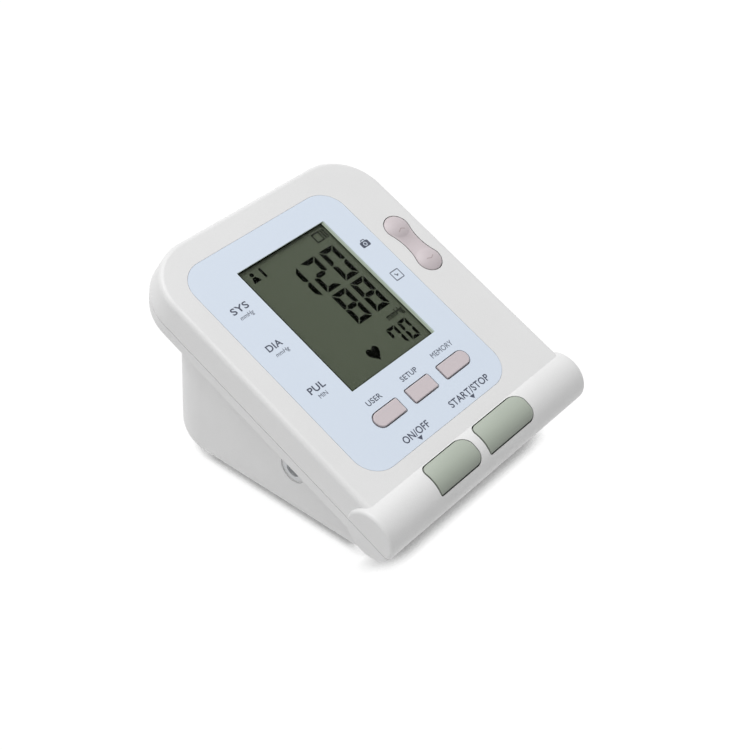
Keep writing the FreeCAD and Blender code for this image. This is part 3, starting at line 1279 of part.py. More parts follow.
def pressure_sensor():
    """The sensor under the main board, with its barb away from the board."""
    x, v, half = "sensor_port_x", "sensor_v", "sensor_side / 2"
    low = f"({BOARD_UNDER} - sensor_height)"
    base = block("sensor_block", (f"{x} - {half}", f"{x} + {half}"), (f"{v} - {half}", f"{v} + {half}"),
                 (low, BOARD_UNDER), SLOPE)
    barb = rod("sensor_barb", (x, v, f"{low} - barb_length"), "barb_radius", "barb_length + lap", frame=SLOPE)
    hole = rod("sensor_hole", (x, v, f"{low} - barb_length - past"), "air_hole",
               "barb_length + sensor_height / 2", frame=SLOPE)
    return node(cut("sensor", fuse("sensor_whole", [base, barb]), [hole]), "pressure_sensor")


def point(at, frame=CASE):
    """A point of a frame, in the case frame, at the present sizes."""
    return Vector(*(number(text) for text in spot(at, frame)))


def hose(label, route):
    """A silicone tube along straight runs joined by tangent arcs."""
    edges = []
    last = route[0]
    for before, corner, after in zip(route, route[1:], route[2:]):
        back, ahead = before - corner, after - corner
        shorter = min(back.Length, ahead.Length)
        back.normalize()
        ahead.normalize()
        turn = math.pi - math.acos(back.dot(ahead))
        run = 0.45 * shorter
        radius = run / math.tan(turn / 2)
        bisector = (back + ahead).normalize()
        start, end = corner + back * run, corner + ahead * run
        middle = corner + bisector * (radius / math.cos(turn / 2) - radius)
        print(f"{label}: bend radius {radius:.1f} mm")
        edges.append(Part.LineSegment(last, start).toShape())
        edges.append(Part.Arc(start, middle, end).toShape())
        last = end
    edges.append(Part.LineSegment(last, route[-1]).toShape())
    path = Part.Wire(edges)
    along = (route[1] - route[0]).normalize()
    pipes = []
    for radius in ("tube_radius", "tube_bore"):
        ring = Part.Wire(Part.Circle(route[0], along, number(radius)).toShape())
        pipes.append(path.makePipeShell([ring], True, True))
    item = doc.addObject("Part::Feature", label)
    item.Shape = pipes[0].cut(pipes[1])
    return node(item, label)


def hoses():
    """The four tubes between the parts of the air path."""
    y, z = "socket_y", "socket_z"
    start = f"(-{SIDE_FACE} + socket_length)"
    straight = tube("short_tube", (start, y, z), "tube_radius", "tube_bore", f"manifold_left - {start}", "x")
    node(straight, "tube_socket")
    reach = "1.5 * barb_length"
    hose("tube_valve", [
        point(("manifold_right", y, z)),
        point((f"manifold_right + {reach}", y, z)),
        point((f"valve_left - {reach}", "valve_y", VALVE_Z)),
        point(("valve_left", "valve_y", VALVE_Z)),
    ])
    side = f"({y} + manifold_half)"
    nozzle = "(pump_y - pump_radius)"
    hose("tube_pump", [
        point(("pump_port_x", side, z)),
        point(("pump_port_x", f"{side} + hose_run", z)),
        point((HEAD_MIDDLE, f"{nozzle} - hose_run", "pump_z")),
        point((HEAD_MIDDLE, nozzle, "pump_z")),
    ])
    sensor_low = f"({BOARD_UNDER} - sensor_height)"
    hose("tube_sensor", [
        point(("sensor_port_x", side, z)),
        point(("sensor_port_x", f"{side} + 1.4 * hose_run", z)),
        point(("sensor_port_x", "sensor_v", f"{sensor_low} - hose_run"), SLOPE),
        point(("sensor_port_x", "sensor_v", sensor_low), SLOPE),
    ])


def solenoid_valve():
    """The quick release valve: frame, coil, plunger and its return spring."""
    y, half = "valve_y", "valve_side / 2"
    base = block("valve_block", ("valve_left", VALVE_RIGHT), (f"{y} - {half}", f"{y} + {half}"),
                 (TRAY_TOP, f"{TRAY_TOP} + valve_side"))
    start = "valve_left - barb_length"
    barb = rod("valve_barb", (start, y, VALVE_Z), "barb_radius", "barb_length + lap", "x")
    room = rod("valve_room", ("valve_left + valve_end", y, VALVE_Z), "coil_radius + core_gap",
               "valve_length - 2 * valve_end", "x")
    length = "barb_length + valve_end + 2 * past"
    hole = rod("valve_hole", (f"{start} - past", y, VALVE_Z), "air_hole", length, "x")
    guide = rod("valve_guide", (f"{VALVE_RIGHT} - valve_end - past", y, VALVE_Z), "core_radius + core_gap",
                "valve_end + 2 * past", "x")
    node(cut("valve", fuse("valve_whole", [base, barb]), [room, hole, guide]), "valve_body")
    node(tube("coil_winding", ("valve_left + valve_end + coil_end", y, VALVE_Z), "coil_radius", "coil_inner",
              "valve_length - 2 * valve_end - 2 * coil_end", "x"), "valve_coil")
    tip = "(valve_left + valve_end + core_seat_gap + core_stroke)"
    core = rod("core", (tip, y, VALVE_Z), "core_radius", f"{VALVE_RIGHT} + core_out - {tip}", "x")
    head = rod("core_top", (f"{VALVE_RIGHT} + core_out - core_head_lap", y, VALVE_Z), "core_head_radius",
               "core_head + core_head_lap", "x")
    node(fuse("core_whole", [core, head]), "valve_plunger")
    start = (f"{VALVE_RIGHT} + screw_gap", y, VALVE_Z)
    length = "core_out - core_head_lap - core_stroke - 4 * screw_gap"
    spring = helix("core_spring", start, "core_spring_radius", "core_spring_wire", length, CORE_TURNS)
    node(spring, "valve_spring")


# ---------------------------------------------------------------- pump


def pump_rod(name, x, radius, length):
    """A cylinder on the pump's axis, from a place along it."""
    return rod(name, (x, "pump_y", "pump_z"), radius, length, "x")


def pump_motor():
    """The can of the motor and, as a piece of its own, the rotor with its shaft and eccentric."""
    can = pump_rod("motor_can", "0", "motor_radius", "motor_length")
    inside = pump_rod("motor_room", "motor_end", "motor_inner", "motor_length - 2 * motor_end")
    bore = pump_rod("motor_bore", "-past", "shaft_radius + shaft_gap", "motor_length + 2 * past")
    node(cut("motor", can, [inside, bore]), "pump_motor")
    armature = pump_rod("armature", "motor_end + rotor_gap", "rotor_radius",
                        "motor_length - 2 * motor_end - 2 * rotor_gap")
    near, far = "(rotor_radius - rotor_slot)", "(rotor_radius + past)"
    slots = [block("armature_slot", ("motor_end", "motor_length - motor_end"),
                   ("pump_y - slot_width", "pump_y + slot_width"), levels)
             for levels in ((f"pump_z + {near}", f"pump_z + {far}"), (f"pump_z - {far}", f"pump_z - {near}"))]
    tip = "(cam_start + cam_length)"
    shaft = pump_rod("shaft", f"-{tip}", "shaft_radius", f"{tip} + motor_length - lap")
    cam = rod("cam", (f"-{tip}", "pump_y", "pump_z + cam_offset"), "cam_radius", "cam_length", "x")
    node(fuse("rotor", [cut("armature_core", armature, slots), shaft, cam]), "pump_rotor")


def legs(name, x, length, orbit, radius):
    """Three rods around the pump's axis."""
    made = []
    for i in range(3):
        angle = f"({90 + 120 * i} * 1 deg)"
        made.append(rod(name, (x, f"pump_y + ({orbit}) * cos{angle}", f"pump_z + ({orbit}) * sin{angle}"),
                        radius, length, "x"))
    return made


def screw_holes(name, x, length):
    """The holes of the long screws through a piece of the pump."""
    radius = "pump_screw_radius + screw_gap"
    return legs(name, f"{x} - past", f"{length} + 2 * past", "pump_screw_orbit", radius)


def pump_head():
    """The crank case, the rocking plate, the rubber membrane, the valve head and the long screws."""
    case = pump_rod("crank_block", CRANK_LEFT, "pump_radius", "crank_length")
    room = pump_rod("crank_room", f"{CRANK_LEFT} - past", "pump_radius - crank_wall - pump_screw_radius",
                    "crank_length + past - crank_wall")
    opening = pump_rod("crank_opening", "-crank_wall - past", "yoke_bore", "crank_wall + 2 * past")
    holes = screw_holes("crank_hole", CRANK_LEFT, "crank_length")
    node(cut("crank", case, [room, opening] + holes), "pump_crankcase")
    yoke_left = "(-yoke_start - yoke_length)"
    start = (yoke_left, "pump_y", "pump_z")
    plate = tube("yoke_plate", start, "yoke_radius", "yoke_bore", "yoke_length", "x")
    length = f"{yoke_left} + lap - {CRANK_LEFT}"
    feet_out = legs("yoke_leg_rod", CRANK_LEFT, length, "yoke_leg_orbit", "yoke_leg")
    node(fuse("yoke", [plate] + feet_out), "pump_yoke")
    holes = screw_holes("membrane_hole", HEAD_RIGHT, "membrane_thick")
    node(cut("membrane", pump_rod("membrane_disc", HEAD_RIGHT, "pump_radius", "membrane_thick"), holes),
         "pump_membrane")
    block_head = pump_rod("head_block", HEAD_LEFT, "pump_radius", "head_length")
    nozzle = rod("head_nozzle", (HEAD_MIDDLE, "pump_y - pump_radius - barb_length", "pump_z"), "barb_radius",
                 "barb_length + 2 * past", "y")
    air = rod("head_air", (HEAD_MIDDLE, "pump_y - pump_radius - barb_length - past", "pump_z"), "air_hole",
              "pump_radius", "y")
    holes = screw_holes("head_hole", HEAD_LEFT, "head_length")
    node(cut("head", fuse("head_whole", [block_head, nozzle]), [air] + holes), "pump_cover")
    length = "(head_length + membrane_thick + crank_length)"
    shanks = legs("pump_shank", HEAD_LEFT, length, "pump_screw_orbit", "pump_screw_radius")
    heads = legs("pump_screw_head", f"{HEAD_LEFT} - small_head", "small_head", "pump_screw_orbit",
                 "pump_screw_head")
    node(group("long_screws", [fuse("pump_screw", list(pair)) for pair in zip(shanks, heads)]), "pump_screws")


def pump_sleeve():
    """The foam sleeve between the motor and its cradle."""
    at = ("sleeve_left", "pump_y", "pump_z")
    sleeve = tube("sleeve", at, "motor_radius + sleeve_thick", "motor_radius", "sleeve_length", "x")
    return node(sleeve, "pump_sleeve")


# ---------------------------------------------------------------- mains inlet


def dc_jack():
    """The mains inlet: a housing on its shelf, with a ring in the side wall and a centre pin."""
    y, z, half = "jack_y", "jack_z", "jack_body_side / 2"
    face = "(case_half - jack_inset)"
    shoulder = "(case_half - wall - jack_shoulder)"
    along = (f"{shoulder} - jack_body_length", shoulder)
    body = block("jack_block", along, (f"{y} - {half}", f"{y} + {half}"), (f"{z} - {half}", f"{z} + {half}"))
    ring = rod("jack_ring_rod", (f"{shoulder} - lap", y, z), "jack_ring", f"{face} - {shoulder} + lap", "x")
    depth = "(jack_pin_length + jack_pin_inset)"
    bore = rod("jack_bore_cut", (f"{face} - {depth}", y, z), "jack_bore", f"{depth} + past", "x")
    root = (f"{face} - {depth} - jack_pin_root", y, z)
    seat = rod("jack_pin_seat", root, "jack_root", f"{depth} + jack_pin_root", "x")
    node(cut("jack", fuse("jack_whole", [body, ring]), [bore, seat]), "dc_jack")
    pin = rod("jack_pin_rod", (f"{face} - {depth}", y, z), "jack_pin", "jack_pin_length", "x")
    foot = rod("jack_pin_foot", root, "jack_root", "jack_pin_root", "x")
    node(fuse("jack_pin_whole", [pin, foot]), "dc_jack_pin")


def build():
    """Makes every sub-part."""
    front_cover()
    rear_case()
    panel_overlay()
    window_lens()
    roll_end_cap()
    side_label()
    rubber_feet()
    case_screws()
    display()
    main_board()
    button_board()
    board_screws()
    board_ribbon()
    switches()
    board_chips()
    board_extras()
    small_keys()
    roll_button("power")
    roll_button("start")
    rocker()
    battery_cells()
    battery_contacts()
    battery_tray()
    battery_door()
    air_socket()
    air_manifold()
    leak_valve()
    pressure_sensor()
    hoses()
    solenoid_valve()
    pump_motor()
    pump_head()
    pump_sleeve()
    dc_jack()
    doc.recompute()


def write():
    """Checks every object and writes each sub-part to its own file."""
    for item in doc.Objects:
        if {"Invalid", "Error"} & set(item.State):
            raise RuntimeError(f"{item.Name} ({item.Label}) failed: {item.State}")
    os.makedirs("parts", exist_ok=True)
    for item in NODES:
        if item.Shape.isNull() or not item.Shape.isValid():
            raise RuntimeError(f"{item.Label} has no valid shape")
        item.Shape.exportStep(f"parts/{item.Label}.step")
        print(f"{item.Label}: {len(item.Shape.Solids)} solids, {item.Shape.Volume:.0f} mm3")


build()
write()
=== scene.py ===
"""Finishes and details of a desktop blood pressure monitor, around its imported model."""

import functools
import json
import math

import bmesh
import bpy
from bpy.props import FloatProperty, FloatVectorProperty, IntProperty, PointerProperty
from mathutils import Matrix, Vector, noise


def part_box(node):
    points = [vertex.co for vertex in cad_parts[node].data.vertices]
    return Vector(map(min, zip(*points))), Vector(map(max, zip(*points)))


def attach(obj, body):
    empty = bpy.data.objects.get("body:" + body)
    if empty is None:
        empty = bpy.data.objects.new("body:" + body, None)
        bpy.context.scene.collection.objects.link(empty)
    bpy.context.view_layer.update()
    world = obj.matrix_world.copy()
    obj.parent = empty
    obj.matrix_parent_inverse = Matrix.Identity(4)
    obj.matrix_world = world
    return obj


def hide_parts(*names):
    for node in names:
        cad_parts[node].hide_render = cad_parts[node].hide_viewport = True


bl_info = {
    "name": "Desktop Pressure Monitor",
    "version": (1, 0, 0),
    "blender": (4, 5, 0),
    "location": "View3D > Sidebar > Monitor",
    "description": "Finishes, legends, display and inner details of a desktop blood pressure monitor",
    "category": "Object",
}

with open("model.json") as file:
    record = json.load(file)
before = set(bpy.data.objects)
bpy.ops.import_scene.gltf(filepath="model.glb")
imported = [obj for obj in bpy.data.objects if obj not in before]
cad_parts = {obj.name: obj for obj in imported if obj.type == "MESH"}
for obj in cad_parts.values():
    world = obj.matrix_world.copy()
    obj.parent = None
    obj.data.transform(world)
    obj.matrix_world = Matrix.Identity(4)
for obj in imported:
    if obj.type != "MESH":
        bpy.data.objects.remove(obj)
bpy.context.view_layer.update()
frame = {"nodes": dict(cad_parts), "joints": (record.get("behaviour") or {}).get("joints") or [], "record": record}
NODES = frame["nodes"]
MM = 0.001


# ---------------------------------------------------------------- places


def slope_matrix():
    """From the tilted cover's own millimetres to the model's metres.

    x runs across, y up the slope and z out of it, from the middle of the front roll's axis."""
    press = Vector(next(j["axis"] for j in frame["joints"] if j["name"] == "power_button_press"))
    low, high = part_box("roll_end_cap")
    middle = (low + high) / 2
    tilt = math.atan2(press.y, -press.z)
    return Matrix.Translation((0, middle.y, middle.z)) @ Matrix.Rotation(tilt, 4, "X") @ Matrix.Scale(MM, 4)


SLOPE = slope_matrix()
LEVEL = Matrix.Scale(MM, 4)
STAY = Matrix.Identity(4)


def corners(points):
    """Lowest corner, highest corner and middle of points."""
    low, high = (Vector(pick(p[i] for p in points) for i in range(3)) for pick in (min, max))
    return low, high, (low + high) / 2


def box_of(node, matrix=SLOPE):
    """Lowest corner, highest corner and middle of a CAD piece, in a frame's millimetres."""
    back = matrix.inverted()
    return corners([back @ vertex.co for vertex in NODES[node].data.vertices])


def solids(node, matrix=SLOPE):
    """Lowest corner, highest corner and middle of each solid of a CAD piece, from front to back."""
    shape = bmesh.new()
    shape.from_mesh(NODES[node].data)
    bmesh.ops.remove_doubles(shape, verts=shape.verts, dist=1e-6)
    shape.transform(matrix.inverted())
    boxes, left = [], set(shape.verts)
    while left:
        waiting, found = [left.pop()], []
        while waiting:
            vertex = waiting.pop()
            found.append(vertex.co.copy())
            beside = {edge.other_vert(vertex) for edge in vertex.link_edges} & left
            left -= beside
            waiting += beside
        boxes.append(corners(found))
    shape.free()
    return sorted(boxes, key=lambda box: (round(box[0].y, 2), round(box[0].x, 2)))


PANEL_TOP = box_of("panel_overlay")[1].z
GLASS_TOP = box_of("lcd_glass")[1].z
BOARD_TOP = box_of("main_board")[1].z
BOARD_THICK = 1.6
SUNK = 0.05  # how deep a printed sign reaches into the surface under it
LENS_BORDER = 0.6  # how far the lens reaches under the panel on each side of its window


# ---------------------------------------------------------------- settings


def tint(code):
    """Linear colour of a six digit screen colour."""
    parts = [int(code[i:i + 2], 16) / 255 for i in (0, 2, 4)]
    return [p / 12.92 if p <= 0.04045 else ((p + 0.055) / 1.055) ** 2.4 for p in parts]


def colour(label, note, code):
    """A colour that a user may change."""
    return FloatVectorProperty(name=label, description=note, default=tint(code), size=3, subtype="COLOR",
                               min=0, max=1)


def length(label, note, value):
    """A length in millimetres that a user may change."""
    return FloatProperty(name=label, description=note, default=value, min=0, soft_max=50)


class MonitorColours(bpy.types.PropertyGroup):
    """Colours of the outer pieces."""

    shell: colour("Shell", "Satin plastic of both shells", "DBDBDB")
    panel: colour("Panel", "Light blue film around the display", "CED8E5")
    legend: colour("Legend", "Ink of the printed words and signs", "3E4455")
    key: colour("Keys", "Small keys and the rocker", "C4BABD")
    button: colour("Buttons", "Two large buttons of the roll", "A6AEA2")
    display: colour("Display", "Resting colour of the display", "4F5547")
    segment: colour("Segments", "Dark parts of the display", "050604")
    window_edge: colour("Window edge", "Green tinge in the cut edge of the window", "96A290")


class MonitorSizes(bpy.types.PropertyGroup):
    """Sizes of the printed and added details."""

    ink: length("Ink", "Height of a printed word over the panel, in millimetres", 0.03)
    digit_stroke: length("Digit stroke", "Width of the large digits' strokes, in millimetres", 2.05)
    digit_gap: length("Digit gap", "Gap between the strokes of a digit, in millimetres", 0.55)
    icon_line: length("Icon line", "Line of the printed signs, in millimetres", 0.33)
    button_edge: length("Button edge", "Rounding of the large buttons, in millimetres", 0.35)
    rocker_edge: length("Rocker edge", "Rounding of the rocker, in millimetres", 0.5)
    coil_turns: IntProperty(name="Coil turns", description="Turns of wire seen on the valve's coil",
                            default=46, min=4)
    ribbon_lines: IntProperty(name="Ribbon lines", description="Conductors of the ribbon cable", default=8,
                              min=2)


# ---------------------------------------------------------------- node helpers


def put(tree, kind, inputs=(), **settings):
    """A node with its settings, and its inputs as values or as links."""
    made = tree.nodes.new(kind)
    for name, value in settings.items():
        setattr(made, name, value)
    for key, value in dict(inputs).items():
        if isinstance(value, bpy.types.NodeSocket):
            tree.links.new(value, made.inputs[key])
        else:
            made.inputs[key].default_value = value
    return made


def new_tree(kind, name, inputs, outputs):
    """A node group, the sockets that its inputs come from and those that its outputs go to."""
    tree = bpy.data.node_groups.new(name, kind)
    for way, sockets in (("INPUT", inputs), ("OUTPUT", outputs)):
        for label, sort, *value in sockets:
            socket = tree.interface.new_socket(label, in_out=way, socket_type="NodeSocket" + sort)
            if value:
                socket.default_value = value[0]
    return tree, tree.nodes.new("NodeGroupInput").outputs, tree.nodes.new("NodeGroupOutput").inputs


def find(tree, kind):
    """The first node of a kind."""
    return next(node for node in tree.nodes if node.type == kind)


def maths(tree, operation, first, second=0.0, clamp=False):
    """The result of one operation on two values."""
    inputs = {0: first, 1: second}
    return put(tree, "ShaderNodeMath", inputs, operation=operation, use_clamp=clamp).outputs[0]


def spread(tree, value, low, high, start=0.0, end=1.0):
    """A value carried from one range to another."""
    return put(tree, "ShaderNodeMapRange", {0: value, 1: start, 2: end, 3: low, 4: high}).outputs[0]


def multiply(tree, first, second, amount):
    """One colour multiplied by another, by an amount."""
    return put(tree, "ShaderNodeMix", {0: amount, 6: first, 7: second}, data_type="RGBA",
               blend_type="MULTIPLY").outputs[2]


def grey(tree, level):
    """The grey of a level."""
    return put(tree, "ShaderNodeCombineColor", {0: level, 1: level, 2: level}).outputs[0]


def place_in(tree, kind="Object"):
    """A texture coordinate of the shaded point."""
    return tree.nodes.new("ShaderNodeTexCoord").outputs[kind]


def clouds(tree, place, scale, detail):
    """Soft noise."""
    return put(tree, "ShaderNodeTexNoise", {"Vector": place, "Scale": scale, "Detail": detail}).outputs[0]


def cells(tree, place, scale, **settings):
    """How far a point is from the middle of its cell."""
    inputs = {"Vector": place, "Scale": scale}
    return put(tree, "ShaderNodeTexVoronoi", inputs, **settings).outputs["Distance"]


def seen(tree):
    """1 for rays from the camera, and for those that gloss and glass send on."""
    rays = tree.nodes.new("ShaderNodeLightPath").outputs
    first = maths(tree, "MAXIMUM", rays["Is Camera Ray"], rays["Is Glossy Ray"])
    return maths(tree, "MAXIMUM", first, rays["Is Transmission Ray"])


def lay_over(tree, factor, shader):
    """Mixes a shader over the one that a material shows."""
    shown = find(tree, "OUTPUT_MATERIAL").inputs["Surface"]
    mixed = put(tree, "ShaderNodeMixShader", {0: factor, 1: shown.links[0].from_socket, 2: shader})
    tree.links.new(mixed.outputs[0], shown)


# ---------------------------------------------------------------- surfaces


GREY = (0.5, 0.5, 0.5, 1)


def surface_tree(name, *inputs):
    """A shader group of a surface, from its colour and values."""
    return new_tree("ShaderNodeTree", name, [("Colour", "Color", GREY), *inputs],
                    [("Colour", "Color"), ("Roughness", "Float"), ("Height", "Float")])


def close_surface(tree, leave, *ends):
    """Ends a surface's group with its colour, roughness and height."""
    for end, socket in zip(ends, leave):
        tree.links.new(end, socket)
    return tree


def shaded(tree, given, level, amount=1.0):
    """The given colour, lighter and darker by a level."""
    return multiply(tree, given["Colour"], grey(tree, level), amount)


def roughened(tree, given, change):
    """The given roughness with its change."""
    return maths(tree, "ADD", given["Roughness"], change, clamp=True)


@functools.cache
def moulded_grain():
    """Spark eroded mould texture: fine pits, slow colour drift and a little handling shine."""
    tree, given, leave = surface_tree("Moulded grain", ("Mottle", "Float", 0.5), ("Grain", "Float", 2600.0),
                                      ("Roughness", "Float", 0.5), ("Change", "Float", 0.05))
    place = place_in(tree)
    fine, pits = clouds(tree, place, given["Grain"], 3.0), cells(tree, place, given["Grain"])
    drift, touch = clouds(tree, place, 34.0, 2.0), clouds(tree, place, 92.0, 4.0)
    shade = maths(tree, "MULTIPLY", spread(tree, drift, 0.93, 1.05, 0.25, 0.75),
                  spread(tree, fine, 0.93, 1.04, 0.25, 0.75))
    change = maths(tree, "MULTIPLY", spread(tree, touch, -1.0, 1.0, 0.3, 0.7), given["Change"])
    return close_surface(tree, leave, shaded(tree, given, shade, given["Mottle"]),
                         roughened(tree, given, change), maths(tree, "ADD", fine, pits))


@functools.cache
def drawn_metal():
    """Rolled or plated metal: long fine draw lines and slow stains."""
    tree, given, leave = surface_tree("Drawn metal", ("Draw", "Vector", (300.0, 4000.0, 4000.0)),
                                      ("Roughness", "Float", 0.3), ("Change", "Float", 0.08))
    place = place_in(tree)
    drawn = put(tree, "ShaderNodeMapping", {"Vector": place, "Scale": given["Draw"]}).outputs[0]
    lines, stain = clouds(tree, drawn, 1.0, 4.0), clouds(tree, place, 240.0, 3.0)
    shade = maths(tree, "MULTIPLY", spread(tree, stain, 0.78, 1.08, 0.25, 0.75),
                  spread(tree, lines, 0.9, 1.06, 0.25, 0.75))
    change = maths(tree, "MULTIPLY", spread(tree, lines, -1.0, 1.0, 0.3, 0.7), given["Change"])
    return close_surface(tree, leave, shaded(tree, given, shade), roughened(tree, given, change), lines)


@functools.cache
def soft_skin():
    """Rubber and foam: open pores over a finer nap, with dust held in the low places."""
    tree, given, leave = surface_tree("Soft skin", ("Mottle", "Float", 0.6), ("Pores", "Float", 1500.0),
                                      ("Roughness", "Float", 0.7))
    place = place_in(tree)
    pores = cells(tree, place, given["Pores"], feature="SMOOTH_F1")
    nap, dust = clouds(tree, place, 5200.0, 2.0), clouds(tree, place, 60.0, 5.0)
    height = maths(tree, "ADD", spread(tree, pores, 0.0, 1.0, 0.0, 0.6), spread(tree, nap, -0.1, 0.1))
    shade = maths(tree, "MULTIPLY", spread(tree, pores, 0.75, 1.1, 0.0, 0.6),
                  spread(tree, dust, 0.9, 1.12, 0.3, 0.7))
    return close_surface(tree, leave, shaded(tree, given, shade, given["Mottle"]),
                         roughened(tree, given, spread(tree, dust, -0.06, 0.06)), height)


@functools.cache
def board_tracks():
    """Copper tracks and vias that show through a solder mask."""
    tree, given, leave = surface_tree("Board tracks")
    flat = put(tree, "ShaderNodeMapping", {"Vector": place_in(tree), "Rotation": (-SLOPE.to_euler().x, 0, 0)})
    place = flat.outputs[0]
    bands = maths(tree, "MULTIPLY", cells(tree, place, 260.0, distance="CHEBYCHEV"), 9.0)
    track = maths(tree, "GREATER_THAN", maths(tree, "FRACT", bands), 0.55)
    via = maths(tree, "LESS_THAN", cells(tree, place, 420.0), 0.12)
    copper = maths(tree, "MAXIMUM", track, via)
    return close_surface(tree, leave, shaded(tree, given, spread(tree, copper, 0.72, 1.35)),
                         spread(tree, copper, 0.42, 0.3), copper)


# ---------------------------------------------------------------- finishes


def finish(name, group, inputs, depth=0.0, **shader_values):
    """A material: one surface group that feeds the Principled shader, with the shader's own constants."""
    material = bpy.data.materials.new(name)
    material.use_nodes = True
    tree = material.node_tree
    tree.nodes.clear()
    shade = inputs["Colour"]
    inputs["Colour"] = (*(tint(shade) if isinstance(shade, str) else shade), 1)
    surface = put(tree, "ShaderNodeGroup", inputs, node_tree=group).outputs
    fed = {"Base Color": surface["Colour"], "Roughness": surface["Roughness"]}
    if depth:
        fed["Normal"] = put(tree, "ShaderNodeBump", {"Height": surface["Height"], "Strength": 1.0,
                                                     "Distance": depth}).outputs[0]
    fed.update((key.replace("_", " "), value) for key, value in shader_values.items())
    shader = put(tree, "ShaderNodeBsdfPrincipled", fed)
    put(tree, "ShaderNodeOutputMaterial", {"Surface": shader.outputs[0]})
    return material


def plastic(name, shade, rough=0.45, grain=2600.0, depth=1.2e-5, mottle=0.35, change=0.05, **values):
    """Moulded plastic."""
    return finish(name, moulded_grain(), {"Colour": shade, "Mottle": mottle, "Grain": grain,
                                          "Roughness": rough, "Change": change}, depth, **values)


def metal(name, shade, rough=0.3, draw=(300.0, 4000.0, 4000.0)):
    """Drawn or plated metal."""
    return finish(name, drawn_metal(), {"Colour": shade, "Draw": draw, "Roughness": rough}, 4e-6,
                  Metallic=1.0)


def rubber(name, shade, rough=0.72, pores=1500.0, depth=3e-5, mottle=0.6, **values):
    """Rubber, silicone or foam."""
    return finish(name, soft_skin(), {"Colour": shade, "Mottle": mottle, "Pores": pores, "Roughness": rough},
                  depth, **values)


def clear_acrylic():
    """The window: thin and clear, with a hard glossy face, and no dark shadow under it."""
    material = plastic("Clear acrylic", (0.97, 0.985, 0.975), rough=0.03, grain=400.0, depth=0,
                       mottle=0.1, change=0.01, Transmission_Weight=1.0, IOR=1.49, Alpha=0.02)
    tree = material.node_tree
    rays = tree.nodes.new("ShaderNodeLightPath").outputs
    through = put(tree, "ShaderNodeBsdfTransparent", {"Color": (0.94, 0.96, 0.94, 1)})
    lay_over(tree, rays["Is Shadow Ray"], through.outputs[0])
    return material


def soft_coat_painted_shade(name, shade, rough, darkest_painted_shade):
    """A sprayed soft coat with painted shade: its colour darkens where the surface turns down, to the darkest
    level given at the most.
    """
    material = plastic(name, shade, rough=rough, grain=3400.0, depth=6e-6, mottle=0.4, Sheen_Weight=0.08)
    tree = material.node_tree
    # painted shade: the colour darkens where the surface's normal turns down
    facing = put(tree, "ShaderNodeSeparateXYZ", {0: place_in(tree, "Normal")}).outputs["Z"]
    painted_shade = grey(tree, spread(tree, facing, darkest_painted_shade, 1.0, 0.45, 0.9))
    tree.links.new(multiply(tree, (*shade, 1), painted_shade, 1.0), find(tree, "GROUP").inputs["Colour"])
    return material


def jacket_print():
    """A printed battery jacket: plain bands around the cell."""
    material = plastic("Battery jacket", (0.1, 0.1, 0.1), rough=0.28, grain=900.0, depth=3e-6, mottle=0.3)
    tree = material.node_tree
    along = put(tree, "ShaderNodeAttribute", attribute_name="band").outputs["Fac"]
    ramp = put(tree, "ShaderNodeValToRGB", {0: along})
    ramp.color_ramp.interpolation = "CONSTANT"
    stops = ramp.color_ramp.elements
    stops[0].color = (0.03, 0.05, 0.09, 1)
    stops[1].position, stops[1].color = 0.3, (0.55, 0.56, 0.58, 1)
    stops.new(0.36).color = (0.06, 0.22, 0.38, 1)
    tree.links.new(ramp.outputs[0], find(tree, "GROUP").inputs["Colour"])
    return material


